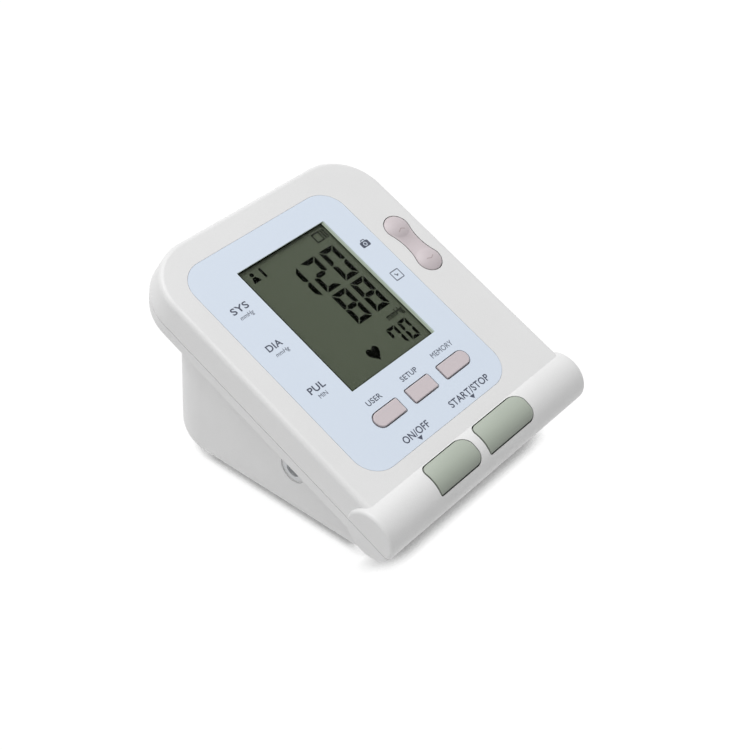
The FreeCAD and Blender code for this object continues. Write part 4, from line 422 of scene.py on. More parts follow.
def materials(colours):
    """Every finish of the model, by its slot, and the ones of the printed and lit details."""
    even = (900.0, 900.0, 900.0)
    return {
        "cover_plastic": plastic("Cover plastic", colours.shell, rough=0.4, mottle=0.28),
        "case_plastic": plastic("Case plastic", colours.shell, rough=0.42, mottle=0.28),
        "panel_film": plastic("Panel film", colours.panel, rough=0.32, grain=1400.0, depth=3e-6,
                              mottle=0.06, change=0.008),
        "clear_lens": clear_acrylic(),
        "grey_plastic": plastic("Grey end plastic", "B9BABB"),
        "label_film": plastic("Bare label film", "D4D5D6", rough=0.34, grain=1500.0, depth=5e-6, mottle=0.25),
        "foot_rubber": rubber("Foot rubber", "6C6C6E", rough=0.8, Sheen_Weight=0.15),
        "screw_steel": metal("Screw steel", "B9BCC0", rough=0.32),
        "lcd_glass": plastic("Display glass", colours.display, rough=0.5, grain=1100.0, depth=0, mottle=0.16,
                             change=0.03, Specular_IOR_Level=0.08),
        "frame_plastic": plastic("Natural plastic", "E6E4DE", rough=0.5),
        "strip_rubber": rubber("Contact strip", "8B8C92", pores=3600.0, depth=1e-5),
        "board_green": finish("Solder mask", board_tracks(), {"Colour": "1F6A3C"}, 1.5e-5, Coat_Weight=0.3,
                              Coat_Roughness=0.2),
        "ribbon_film": plastic("Ribbon film", "C98A3A", rough=0.3, grain=1500.0, depth=3e-6),
        "black_plastic": plastic("Black plastic", "232426", rough=0.5, depth=2e-5),
        "capacitor_can": plastic("Capacitor sleeve", "2C3A66", rough=0.25, grain=900.0, depth=3e-6),
        "cell_jacket": jacket_print(),
        "contact_metal": metal("Nickel contacts", "D8D6CE", rough=0.22),
        "socket_plastic": plastic("Socket plastic", "CDCFD1", rough=0.38, depth=8e-6),
        "clear_plastic": plastic("Nylon", "DAD9D2", rough=0.36, grain=1200.0, Subsurface_Weight=0.15,
                                 Subsurface_Scale=0.002),
        "sensor_plastic": plastic("Sensor plastic", "E9E7E0", rough=0.3),
        "silicone": rubber("Silicone", "DFE2E2", rough=0.42, pores=900.0, depth=6e-6, mottle=0.25,
                           Subsurface_Weight=0.3, Subsurface_Scale=0.002),
        "valve_steel": metal("Valve steel", "C2C3C0", rough=0.28, draw=(3000.0, 500.0, 3000.0)),
        "coil_copper": metal("Enamelled copper", "B0622C", rough=0.25, draw=(2000.0, 900.0, 900.0)),
        "motor_can": metal("Motor can", "BFC0BE", draw=(200.0, 5000.0, 5000.0)),
        "membrane_rubber": rubber("Membrane rubber", "2A2A2B"),
        "foam": rubber("Closed foam", "3A3A3C", rough=0.92, pores=760.0, depth=2.5e-4, mottle=0.9,
                       Sheen_Weight=0.3),
        "jack_plastic": plastic("Inlet plastic", "1B1B1D", rough=0.42, depth=1e-5),
        "jack_metal": metal("Inlet pin", "E4E2DA", rough=0.16),
        "button_green": soft_coat_painted_shade("Green soft coat", colours.button, 0.46, 0.68),
        "key_pink": soft_coat_painted_shade("Rose soft coat", colours.key, 0.48, 0.9),
        "plunger_plastic": plastic("Plunger plastic", "DAD6CC", rough=0.4),
        "rotor_steel": metal("Rotor laminations", "8D8E8C", rough=0.35, draw=(9000.0, 300.0, 300.0)),
        "legend_ink": plastic("Legend ink", colours.legend, rough=0.5, grain=5000.0, depth=3e-6, mottle=0.3),
        "key_ink": plastic("Key ink", "A09192", rough=0.5, grain=5000.0, depth=2e-6, mottle=0.3),
        "segment_dark": plastic("Display segment", colours.segment, rough=0.5, grain=1500.0, depth=0,
                                mottle=0.3, Specular_IOR_Level=0.0),
        "window_cut": plastic("Window cut edge", colours.window_edge, rough=0.2, grain=1200.0, depth=2e-6,
                              mottle=0.6),
        "window_pale": plastic("Window pale edge", "BCC9C2", rough=0.2, grain=1200.0, depth=2e-6, mottle=0.5),
        "cell_mark": plastic("Cell mark", "E3E4E2", rough=0.35, grain=2000.0, depth=2e-6),
        "solder": metal("Solder", "C9CACB", rough=0.22, draw=even),
        "cell_steel": metal("Cell steel", "CFCFCB", rough=0.25, draw=even),
    }


FINISH = {}


# ---------------------------------------------------------------- mesh helpers


def linked(name, data):
    """A new object in the scene."""
    made = bpy.data.objects.new(name, data)
    bpy.context.scene.collection.objects.link(made)
    return made


def as_mesh(shape, name, matrix=STAY):
    """A finished mesh from a work shape, with faces outwards."""
    bmesh.ops.recalc_face_normals(shape, faces=shape.faces)
    shape.transform(matrix)
    mesh = bpy.data.meshes.new(name)
    shape.to_mesh(mesh)
    shape.free()
    return mesh


def plain_mesh(holder):
    """The evaluated mesh of an object, which is then removed with its source."""
    bpy.context.view_layer.update()
    ready = bpy.data.meshes.new_from_object(holder.evaluated_get(bpy.context.evaluated_depsgraph_get()))
    source = holder.data
    bpy.data.objects.remove(holder)
    (bpy.data.curves if isinstance(source, bpy.types.Curve) else bpy.data.meshes).remove(source)
    return ready


def gathered(*meshes):
    """One work shape of several meshes, which are then removed."""
    shape = bmesh.new()
    for mesh in meshes:
        shape.from_mesh(mesh)
        bpy.data.meshes.remove(mesh)
    return shape


EDGE, FINE_EDGE = 35, 60  # edges that bend more than this many degrees stay sharp


def smooth(mesh, angle):
    """Smooth shading between the sharp edges of a mesh."""
    mesh.shade_smooth()
    mesh.set_sharp_from_angle(angle=math.radians(angle))
    return mesh


def add_piece(name, mesh, look, body="case", slot=None, replaced=()):
    """Puts a mesh in the scene with its finish and its body."""
    mesh.materials.clear()
    mesh.materials.append(FINISH[look])
    piece = linked(name, mesh)
    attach(piece, body)
    if replaced:
        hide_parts(*replaced)
    return piece


def make(name, shape, look, matrix=SLOPE, angle=None, **where):
    """A piece of a work shape, in its frame, and shaded smooth where it has an angle for that."""
    mesh = as_mesh(shape, name, matrix)
    return add_piece(name, smooth(mesh, angle) if angle else mesh, look, **where)


def circle(steps):
    """The angles of steps around a circle."""
    return [2 * math.pi * i / steps for i in range(steps)]


def bridge(shape, rows, closed=False):
    """Joins each row of points to the next one with faces. A row may be a single point."""
    for one, two in zip(rows, rows[1:] + rows[:1] if closed else rows[1:]):
        for i in range(max(len(one), len(two))):
            around = [row[k % len(row)] for row, k in ((one, i), (one, i + 1), (two, i + 1), (two, i))]
            shape.faces.new(list(dict.fromkeys(around)))


def plate(shape, outline, low, high):
    """Adds a flat closed plate with an outline to a work shape."""
    lower, upper = ([shape.verts.new((x, v, level)) for x, v in outline] for level in (low, high))
    shape.faces.new(upper)
    shape.faces.new(lower[::-1])
    bridge(shape, [lower, upper])
    return shape


def line(shape, points, width, low, high, closed=False):
    """Adds a closed band that follows points with mitred corners to a work shape."""
    points = [Vector(p) for p in points]
    last = len(points) - 1
    rows = []
    for i, point in enumerate(points):
        before = points[i - 1] if closed or i else None
        after = points[(i + 1) % len(points)] if closed or i < last else None
        into = (point - before).normalized() if before is not None else (after - point).normalized()
        out = (after - point).normalized() if after is not None else into
        side = Vector((-into.y - out.y, into.x + out.x)).normalized()
        reach = side * (width / 2 / max(0.35, side.dot(Vector((-into.y, into.x)))))
        left, right = point + reach, point - reach
        rows.append([shape.verts.new((p.x, p.y, z)) for p, z in ((left, low), (right, low), (right, high),
                                                                 (left, high))])
    bridge(shape, rows, closed)
    if not closed:
        shape.faces.new(rows[0])
        shape.faces.new(rows[-1][::-1])
    return shape


def rectangle(x0, x1, v0, v1):
    """Outline of a rectangle."""
    return [(x0, v0), (x1, v0), (x1, v1), (x0, v1)]


def arc(x, v, radius, start, end, steps=16):
    """Points along an arc, angles in degrees."""
    turns = [math.radians(start + (end - start) * i / steps) for i in range(steps + 1)]
    return [(x + radius * math.cos(t), v + radius * math.sin(t)) for t in turns]


ROUND = (0, 337.5, 15)  # an arc's start, end and steps, for a closed outline of sixteen points


def rounded(x0, x1, v0, v1, radius, steps=5):
    """Outline of a rectangle with rounded corners."""
    points = []
    for x, v, start in ((x1, v1, 0), (x0, v1, 90), (x0, v0, 180), (x1, v0, 270)):
        middle = (x - radius if x == x1 else x + radius, v - radius if v == v1 else v + radius)
        points += arc(*middle, radius, start, start + 90, steps)
    return points


def lathe(shape, profile, steps=48, closed=False):
    """Adds a solid turned about x to a work shape, from a profile of places along and radii."""
    rings = [[shape.verts.new((along, radius * math.cos(t), radius * math.sin(t)))
              for t in circle(steps if radius else 1)] for along, radius in profile]
    bridge(shape, rings, closed)
    return shape


def words(name, text, box, level, look, thin=0.0, spacing=1.0, shear=0.0):
    """A printed word between two levels, fitted to a box (left, right, bottom, top) on the slope."""
    curve = bpy.data.curves.new(name, "FONT")
    for key, value in {"body": text, "fill_mode": "BOTH", "extrude": 0.5, "offset": thin, "resolution_u": 5,
                       "space_character": spacing, "shear": shear}.items():
        setattr(curve, key, value)
    shape = gathered(plain_mesh(linked(name, curve)))
    bmesh.ops.remove_doubles(shape, verts=shape.verts, dist=1e-5)
    low, high, _ = corners([vertex.co for vertex in shape.verts])
    wide, tall = (box[1] - box[0]) / (high.x - low.x), (box[3] - box[2]) / (high.y - low.y)
    for vertex in shape.verts:
        x, y, z = vertex.co
        vertex.co = (box[0] + (x - low.x) * wide, box[2] + (y - low.y) * tall, level[z > 0])
    make(name, shape, look)


# ---------------------------------------------------------------- geometry trees


def geometry_tree(name, *inputs):
    """A geometry tree with named inputs for its sizes and its finish."""
    solid = ("Geometry", "Geometry")
    return new_tree("GeometryNodeTree", name, [solid, *inputs, ("Finish", "Material")], [solid])


def close_tree(tree, given, leave, copies):
    """Ends a geometry tree: real geometry with its finish."""
    real = put(tree, "GeometryNodeRealizeInstances", {"Geometry": copies.outputs[0]})
    dressed = put(tree, "GeometryNodeSetMaterial", {"Geometry": real.outputs[0],
                                                    "Material": given["Finish"]})
    tree.links.new(dressed.outputs[0], leave[0])
    return tree


@functools.cache
def row_tree():
    """Copies of the given piece in a row, every second one turned about z."""
    tree, given, leave = geometry_tree("Row", ("Count", "Int", 4), ("Start", "Vector", (0.0, 0.0, 0.0)),
                                       ("Step", "Vector", (0.0, 1.0, 0.0)), ("Turn", "Float", 0.0))
    points = put(tree, "GeometryNodeMeshLine", {"Count": given["Count"], "Start Location": given["Start"],
                                                "Offset": given["Step"]})
    odd = maths(tree, "MODULO", tree.nodes.new("GeometryNodeInputIndex").outputs[0], 2.0)
    angle = maths(tree, "MULTIPLY", odd, given["Turn"])
    turn = put(tree, "FunctionNodeAxisAngleToRotation", {"Axis": (0.0, 0.0, 1.0), "Angle": angle})
    return close_tree(tree, given, leave, put(tree, "GeometryNodeInstanceOnPoints", {
        "Points": points.outputs[0], "Instance": given["Geometry"], "Rotation": turn.outputs[0]}))


@functools.cache
def seats_tree():
    """Copies of a part on every point of the given mesh."""
    tree, given, leave = geometry_tree("Seats", ("Part", "Object"))
    part = put(tree, "GeometryNodeObjectInfo", {"Object": given["Part"]})
    return close_tree(tree, given, leave, put(tree, "GeometryNodeInstanceOnPoints", {
        "Points": given["Geometry"], "Instance": part.outputs["Geometry"]}))


@functools.cache
def winding_tree():
    """A wire wound in close turns about z."""
    tree, given, leave = geometry_tree("Winding", ("Turns", "Float", 40.0), ("Radius", "Float", 5.0),
                                       ("Length", "Float", 12.0), ("Wire", "Float", 0.1))
    path = put(tree, "GeometryNodeCurveSpiral", {
        "Resolution": 28, "Rotations": given["Turns"], "Start Radius": given["Radius"],
        "End Radius": given["Radius"], "Height": given["Length"]})
    ring = put(tree, "GeometryNodeCurvePrimitiveCircle", {"Resolution": 6, "Radius": given["Wire"]})
    return close_tree(tree, given, leave, put(tree, "GeometryNodeCurveToMesh", {
        "Curve": path.outputs[0], "Profile Curve": ring.outputs[0], "Fill Caps": True}))


def grown(tree, shape, look, values):
    """The plain mesh that a geometry tree makes of a work shape."""
    holder = linked(tree.name, as_mesh(shape, tree.name))
    change = holder.modifiers.new(tree.name, "NODES")
    change.node_group = tree
    values = {**values, "Finish": FINISH[look]}
    for item in tree.interface.items_tree:
        if item.in_out == "INPUT" and item.name in values:
            change[item.identifier] = values[item.name]
    return plain_mesh(holder)


def row(shape, look, count, start, step, turn=0.0):
    """A row of copies of a work shape."""
    return grown(row_tree(), shape, look, {"Count": count, "Start": start, "Step": step, "Turn": turn})


def seated(shape, look, places):
    """Copies of a work shape on a list of places."""
    part = linked("part", as_mesh(shape, "part"))
    points = bmesh.new()
    for place in places:
        points.verts.new(place)
    mesh = grown(seats_tree(), points, look, {"Part": part})
    source = part.data
    bpy.data.objects.remove(part)
    bpy.data.meshes.remove(source)
    return mesh


def softened(node, width, look, body):
    """A copy of a CAD piece with its sharp edges rounded, in the place of that piece."""
    shape = bmesh.new()
    shape.from_mesh(NODES[node].data)
    flat, bent = math.radians(0.6), math.radians(38)
    bmesh.ops.remove_doubles(shape, verts=shape.verts, dist=2e-6)
    bmesh.ops.dissolve_limit(shape, angle_limit=flat, verts=shape.verts, edges=shape.edges)
    sharp = [e for e in shape.edges if e.is_manifold and e.calc_face_angle(0) > bent]
    bmesh.ops.bevel(shape, geom=sharp, offset=width * MM, offset_type="OFFSET", segments=4, profile=0.5,
                    affect="EDGES", clamp_overlap=True)
    bmesh.ops.remove_doubles(shape, verts=shape.verts, dist=1e-6)
    bmesh.ops.triangulate(shape, faces=shape.faces)
    make(node + "_soft", shape, look, STAY, 32, body=body, slot=look, replaced=(node,))


# ---------------------------------------------------------------- shells and trim


class MONITOR_OT_shells(bpy.types.Operator):
    """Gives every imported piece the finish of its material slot"""

    bl_idname = "monitor.shells"
    bl_label = "Finishes"

    def execute(self, context):
        FINISH.update(materials(context.scene.monitor_colours))
        for part in frame["record"]["subparts"]:
            mesh = NODES[part["node"]].data
            mesh.materials.clear()
            mesh.materials.append(FINISH[part["material_slot"]])
        return {"FINISHED"}


# ---------------------------------------------------------------- printed panel


class MONITOR_OT_panel(bpy.types.Operator):
    """Prints the words and signs on the panel"""

    bl_idname = "monitor.panel"
    bl_label = "Panel legends"

    def execute(self, context):
        sizes = context.scene.monitor_sizes
        ink = PANEL_TOP - SUNK, PANEL_TOP + sizes.ink
        for name, text, box, thin in (
                ("legend_sys", "SYS", (-37.2, -29.8, 85.3, 88.1), 0.018),
                ("legend_dia", "DIA", (-37.2, -30.7, 67.5, 70.2), 0.018),
                ("legend_pul", "PUL", (-37.0, -29.9, 47.0, 49.7), 0.018),
                ("legend_user", "USER", (-23.8, -16.8, 32.2, 34.3), 0.012),
                ("legend_setup", "SETUP", (-6.6, 1.5, 32.0, 34.1), 0.012),
                ("legend_memory", "MEMORY", (9.9, 20.9, 32.2, 34.3), 0.0),
                ("legend_on_off", "ON/OFF", (-23.6, -11.0, 14.2, 17.0), 0.016),
                ("legend_start_stop", "START/STOP", (0.6, 21.4, 14.1, 16.9), 0.016)):
            words(name, text, box, ink, "legend_ink", thin=thin, spacing=1.06)
        for name, text, box, slant in (
                ("legend_sys_unit", "mmHg", (-36.2, -30.2, 81.9, 84.1), 0.2),
                ("legend_dia_unit", "mmHg", (-36.2, -30.2, 64.1, 66.2), 0.2),
                ("legend_pul_unit", "MIN", (-35.2, -31.6, 44.2, 45.8), 0.0)):
            words(name, text, box, ink, "legend_ink", shear=slant)
        self.pointers(ink)
        self.case_icon(ink, sizes.icon_line)
        self.clock_icon(ink, sizes.icon_line)
        self.window_edges()
        return {"FINISHED"}

    def pointers(self, ink):
        """The two triangles that point at the buttons."""
        half, base, point = 1.15, 13.75, 12.15
        shape = bmesh.new()
        for x in (-17.5, 10.5):
            plate(shape, [(x - half, base), (x, point), (x + half, base)], *ink)
        make("legend_pointers", shape, "legend_ink")

    def case_icon(self, ink, width):
        """A small case with a handle and a ring on its front."""
        x, v = 25.2, 82.0
        shape = plate(bmesh.new(), rounded(x - 2.0, x + 2.0, v - 1.5, v + 1.1, 0.5), *ink)
        handle = [(x - 0.9, v + 1.1), (x - 0.7, v + 1.75), (x + 0.7, v + 1.75), (x + 0.9, v + 1.1)]
        make("icon_case", line(shape, handle, width, *ink), "legend_ink")
        face = ink[1]
        ring = arc(x, v - 0.2, 0.72, *ROUND)
        make("icon_case_ring", line(bmesh.new(), ring, width * 0.9, face - 0.02, face + 0.015, closed=True),
             "panel_film")

    def clock_icon(self, ink, width):
        """A square dial with two hands."""
        x, v = 25.4, 65.3
        dial = rounded(x - 2.0, x + 2.0, v - 1.95, v + 1.95, 0.25, 2)
        hands = [(x - 0.75, v + 0.75), (x - 0.05, v - 0.35), (x + 0.6, v + 0.15)]
        shape = line(bmesh.new(), dial, width, *ink, closed=True)
        make("icon_clock", line(shape, hands, width * 1.1, *ink), "legend_ink")

    def window_edges(self):
        """The edges of the window: a green bevel on the right, and a dark band of painted shadow under a pale rim
        on the other three sides.
        """
        low, high, _ = box_of("window_lens")
        left, right = low.x + LENS_BORDER, high.x - LENS_BORDER
        near, far = low.y + LENS_BORDER, high.y - LENS_BORDER
        seat, top = high.z, PANEL_TOP - 0.02
        slit, painted_shadow_top = 0.08, seat + 0.3
        inner = right - slit
        sides = (rectangle(left, inner, far - slit, far), rectangle(left, left + slit, near, far - slit),
                 rectangle(left + slit, inner, near, near + slit))
        # painted shadow: a dark band low on the far, left and near walls, below the pale rim
        for name, look, levels in (("window_edge_glue", "segment_dark", (seat, painted_shadow_top)),
                                   ("window_edge_rim", "window_pale", (painted_shadow_top, top))):
            shape = bmesh.new()
            for side in sides:
                plate(shape, side, *levels)
            make(name, shape, look)
        foot, crest, brow = right - 0.95, right - 0.28, seat + 0.42
        for name, look, section in (
                ("window_edge_green", "window_cut", [(foot, seat), (crest, brow), (crest, seat)]),
                ("window_edge_pale", "window_pale",
                 [(crest, seat), (crest, brow), (right, top), (right, seat)])):
            shape = bmesh.new()
            ends = [[shape.verts.new((x, v, level)) for x, level in section] for v in (near, far)]
            for end in ends:
                shape.faces.new(end)
            bridge(shape, ends)
            make(name, shape, look)


# ---------------------------------------------------------------- display


LIT = {"0": "abcdef", "1": "bc", "2": "abged", "7": "abcf", "8": "abcdefg"}
THIN_LINE = 0.5  # of the display's battery sign and border


def strokes(digit, x0, x1, v0, v1, width, gap):
    """Outlines of the lit strokes of a digit, with mitred ends."""
    middle, half, g = (v0 + v1) / 2, width / 2, gap / 2
    shapes = {
        "a": [(x0 + g, v1), (x1 - g, v1), (x1 - width - g, v1 - width), (x0 + width + g, v1 - width)],
        "b": [(x1, v1 - g), (x1, middle + g), (x1 - half, middle + g), (x1 - width, middle + half + g),
              (x1 - width, v1 - width - g)],
        "f": [(x0, v1 - g), (x0 + width, v1 - width - g), (x0 + width, middle + half + g),
              (x0 + half, middle + g), (x0, middle + g)],
        "g": [(x0 + half + g, middle), (x0 + width + g, middle + half), (x1 - width - g, middle + half),
              (x1 - half - g, middle), (x1 - width - g, middle - half), (x0 + width + g, middle - half)],
    }
    for lower, upper in ("da", "cb", "ef"):
        shapes[lower] = [(x, 2 * middle - v) for x, v in shapes[upper]][::-1]
    return [shapes[name] for name in LIT[digit]]


class MONITOR_OT_display(bpy.types.Operator):
    """Draws a reading, its unit and the small signs on the display"""

    bl_idname = "monitor.display"
    bl_label = "Display"

    def execute(self, context):
        sizes = context.scene.monitor_sizes
        dark = GLASS_TOP - SUNK, GLASS_TOP + 0.02
        shift, rise = 1.14, 0.42
        for name, text, places, (v0, v1), scale in (
                ("digits_high", "120", ((-8.0, -4.6), (-2.5, 4.8), (7.0, 14.2)), (74.0, 88.7), 1.0),
                ("digits_low", "88", ((-2.5, 4.8), (7.0, 14.2)), (57.9, 72.4), 1.0),
                ("digits_pulse", "70", ((3.7, 8.2), (9.6, 14.0)), (42.0, 50.7), 0.62)):
            shape = bmesh.new()
            for digit, (x0, x1) in zip(text, places):
                for outline in strokes(digit, x0 + shift, x1 + shift, v0 + rise, v1 + rise,
                                       sizes.digit_stroke * scale, sizes.digit_gap * (0.5 + scale / 2)):
                    plate(shape, outline, *dark)
            make(name, shape, "segment_dark")
        words("display_unit", "mmHg", (9.3, 17.3, 52.3, 55.9), dark, "segment_dark", thin=0.02)
        words("display_user", "1", (-15.6, -14.6, 91.8, 96.1), dark, "segment_dark")
        self.user_sign(dark, -20.4 + shift, 91.4 + rise)
        self.battery_sign(dark, 10.4 + shift, 92.1 + rise)
        self.heart_sign(dark, -6.5 + shift, 45.8 + rise)
        self.border(dark)
        return {"FINISHED"}

    def user_sign(self, dark, x, v):
        """A head over shoulders."""
        shape = plate(bmesh.new(), arc(x, v + 3.5, 0.85, *ROUND), *dark)
        shoulders = [(x - 1.65, v), (x + 1.65, v), (x + 1.45, v + 0.9), (x + 0.75, v + 2.3),
                     (x - 0.75, v + 2.3), (x - 1.45, v + 0.9)]
        make("sign_user", plate(shape, shoulders, *dark), "segment_dark")

    def battery_sign(self, dark, x, v):
        """An open box and two bars."""
        shape = line(bmesh.new(), rectangle(x, x + 3.3, v, v + 3.7), THIN_LINE, *dark, closed=True)
        for start in (4.1, 5.2):
            plate(shape, rectangle(x + start, x + start + 0.6, v - 0.2, v + 3.9), *dark)
        make("sign_battery", shape, "segment_dark")

    def heart_sign(self, dark, x, v):
        """A heart, from the usual heart curve."""
        wide, tall, middle = 0.175, 0.21, 2.5
        outline = []
        for t in circle(40):
            across = 16 * math.sin(t) ** 3
            up = 13 * math.cos(t) - 5 * math.cos(2 * t) - 2 * math.cos(3 * t) - math.cos(4 * t)
            outline.append((x - across * wide, v + (up + middle) * tall))
        make("sign_heart", plate(bmesh.new(), outline, *dark), "segment_dark")

    def border(self, dark):
        """The thin line around the live area of the display."""
        low, high, _ = box_of("window_lens")
        area = rectangle(low.x + 1.85, high.x - 1.0, low.y + 1.1, high.y - 0.4)
        make("display_border", line(bmesh.new(), area, THIN_LINE, *dark, closed=True), "segment_dark")


# ---------------------------------------------------------------- keys


class MONITOR_OT_keys(bpy.types.Operator):
    """Rounds the buttons and the rocker, and marks the rocker's two ends"""

    bl_idname = "monitor.keys"
    bl_label = "Keys"

    def execute(self, context):
        sizes = context.scene.monitor_sizes
        softened("power_button", sizes.button_edge, "button_green", "power_key")
        softened("start_button", sizes.button_edge, "button_green", "start_key")
        softened("rocker_key", sizes.rocker_edge, "key_pink", "rocker")
        self.chevrons()
        return {"FINISHED"}

    def chevrons(self):
        """A thin mark on each dome of the rocker, laid on its curve."""
        _, high, middle = box_of("rocker_key")
        x = middle.x
        rise, half, apart = 1.3, 5.0, 8.55
        wide, tall, width = 1.7, 0.8, 0.26
        ball = (half * half + rise * rise) / (2 * rise)
        shape = bmesh.new()
        for side in (1, -1):
            centre = middle.y + side * apart
            tip = centre - side * 0.45 - 1.15
            ends = [(x - wide, tip - side * tall), (x, tip), (x + wide, tip - side * tall)]
            path = []
            for a, b in zip(ends, ends[1:]):
                path += [(a[0] + (b[0] - a[0]) * i / 6, a[1] + (b[1] - a[1]) * i / 6) for i in range(6)]
            before = len(shape.verts)
            line(shape, path + ends[-1:], width, 0.0, 1.0)
            shape.verts.ensure_lookup_table()
            for vertex in shape.verts[before:]:
                away = (vertex.co.x - x) ** 2 + (vertex.co.y - centre) ** 2
                ground = high.z - ball + math.sqrt(ball * ball - away)
                vertex.co.z = ground + (0.02 if vertex.co.z > 0.5 else -0.08)
        make("rocker_marks", shape, "key_ink", body="rocker", slot="key_pink")


# ---------------------------------------------------------------- batteries


class MONITOR_OT_batteries(bpy.types.Operator):
    """Makes the cells with their jackets, steel ends and plus and minus marks"""

    bl_idname = "monitor.batteries"
    bl_label = "Battery cells"

    def execute(self, context):
        boxes = solids("battery_cells", LEVEL)
        low, high, middle = boxes[0]
        start, end, radius = low.x, high.x - 1.0, (high.z - low.z) / 2
        first, step = (0.0, middle.y, middle.z), (0.0, boxes[1][0].y - low.y, 0.0)
        for name, look, maker, replaced in (
                ("cell_jackets", "cell_jacket", self.jacket, ("battery_cells",)),
                ("cell_cans", "cell_steel", self.can, ()), ("cell_marks", "cell_mark", self.marks, ())):
            mesh = row(maker(bmesh.new(), start, end, radius), look, len(boxes), first, step, math.pi)
            if replaced:
                self.bands(mesh, len(boxes), start, end)
            mesh.transform(LEVEL)
            mesh.name = name
            add_piece(name, smooth(mesh, 40), look, slot="cell_jacket", replaced=replaced)
        return {"FINISHED"}

    def jacket(self, shape, start, end, r):
        """The printed sleeve, rolled over both ends."""
        return lathe(shape, [
            (start + 0.35, r - 0.7), (start + 0.25, r - 0.35), (start + 0.45, r - 0.08), (start + 0.9, r),
            (start + 15, r), (start + 30, r), (end - 3.0, r), (end - 2.6, r - 0.14), (end - 2.2, r),
            (end - 0.8, r), (end - 0.35, r - 0.1), (end - 0.15, r - 0.4), (end - 0.25, r - 0.8),
            (end - 0.6, r - 0.9), (start + 0.7, r - 0.9)], closed=True)

    def can(self, shape, start, end, r):
        """The steel ends, with the button at the plus end."""
        return lathe(shape, [
            (start + 0.2, 0), (start + 0.1, 3.6), (start, 4.2), (start, 5.6), (start + 0.4, 6.2),
            (start + 0.6, r - 0.5), (end - 0.7, r - 0.5), (end - 0.4, 6.0), (end - 0.1, 5.4), (end, 4.9),
            (end, 3.3), (end + 0.15, 2.9), (end + 0.8, 2.7), (end + 1.0, 2.4), (end + 1.0, 0)])

    def marks(self, shape, start, end, r):
        """A plus and a minus, wrapped on the under side."""
        bold, proud, sunk = 0.75, 0.012, 0.1
        for points in ([(start + 5.0, s) for s in (-1.5, -0.75, 0.0, 0.75, 1.5)],
                       [(end - 6.5, s) for s in (-1.6, -0.8, 0.0, 0.8, 1.6)],
                       [(end - 8.1, 0.0), (end - 6.9, 0.0)], [(end - 6.1, 0.0), (end - 4.9, 0.0)]):
            line(shape, points, bold, 0.0, 1.0)
        for vertex in shape.verts:
            x, s, level = vertex.co
            reach = r + (proud if level > 0.5 else -sunk)
            vertex.co = (x, reach * math.sin(s / r), -reach * math.cos(s / r))
        return shape

    def bands(self, mesh, count, start, end):
        """Writes how far along its cell each point of a jacket is."""
        band = mesh.attributes.new("band", "FLOAT", "POINT")
        each = len(mesh.vertices) // count
        for i, vertex in enumerate(mesh.vertices):
            x = -vertex.co.x if i // each % 2 else vertex.co.x
            band.data[i].value = (x - start) / (end - start)


# ---------------------------------------------------------------- boards


WIDE_CHIP = 10  # wider chips have leads on all four sides


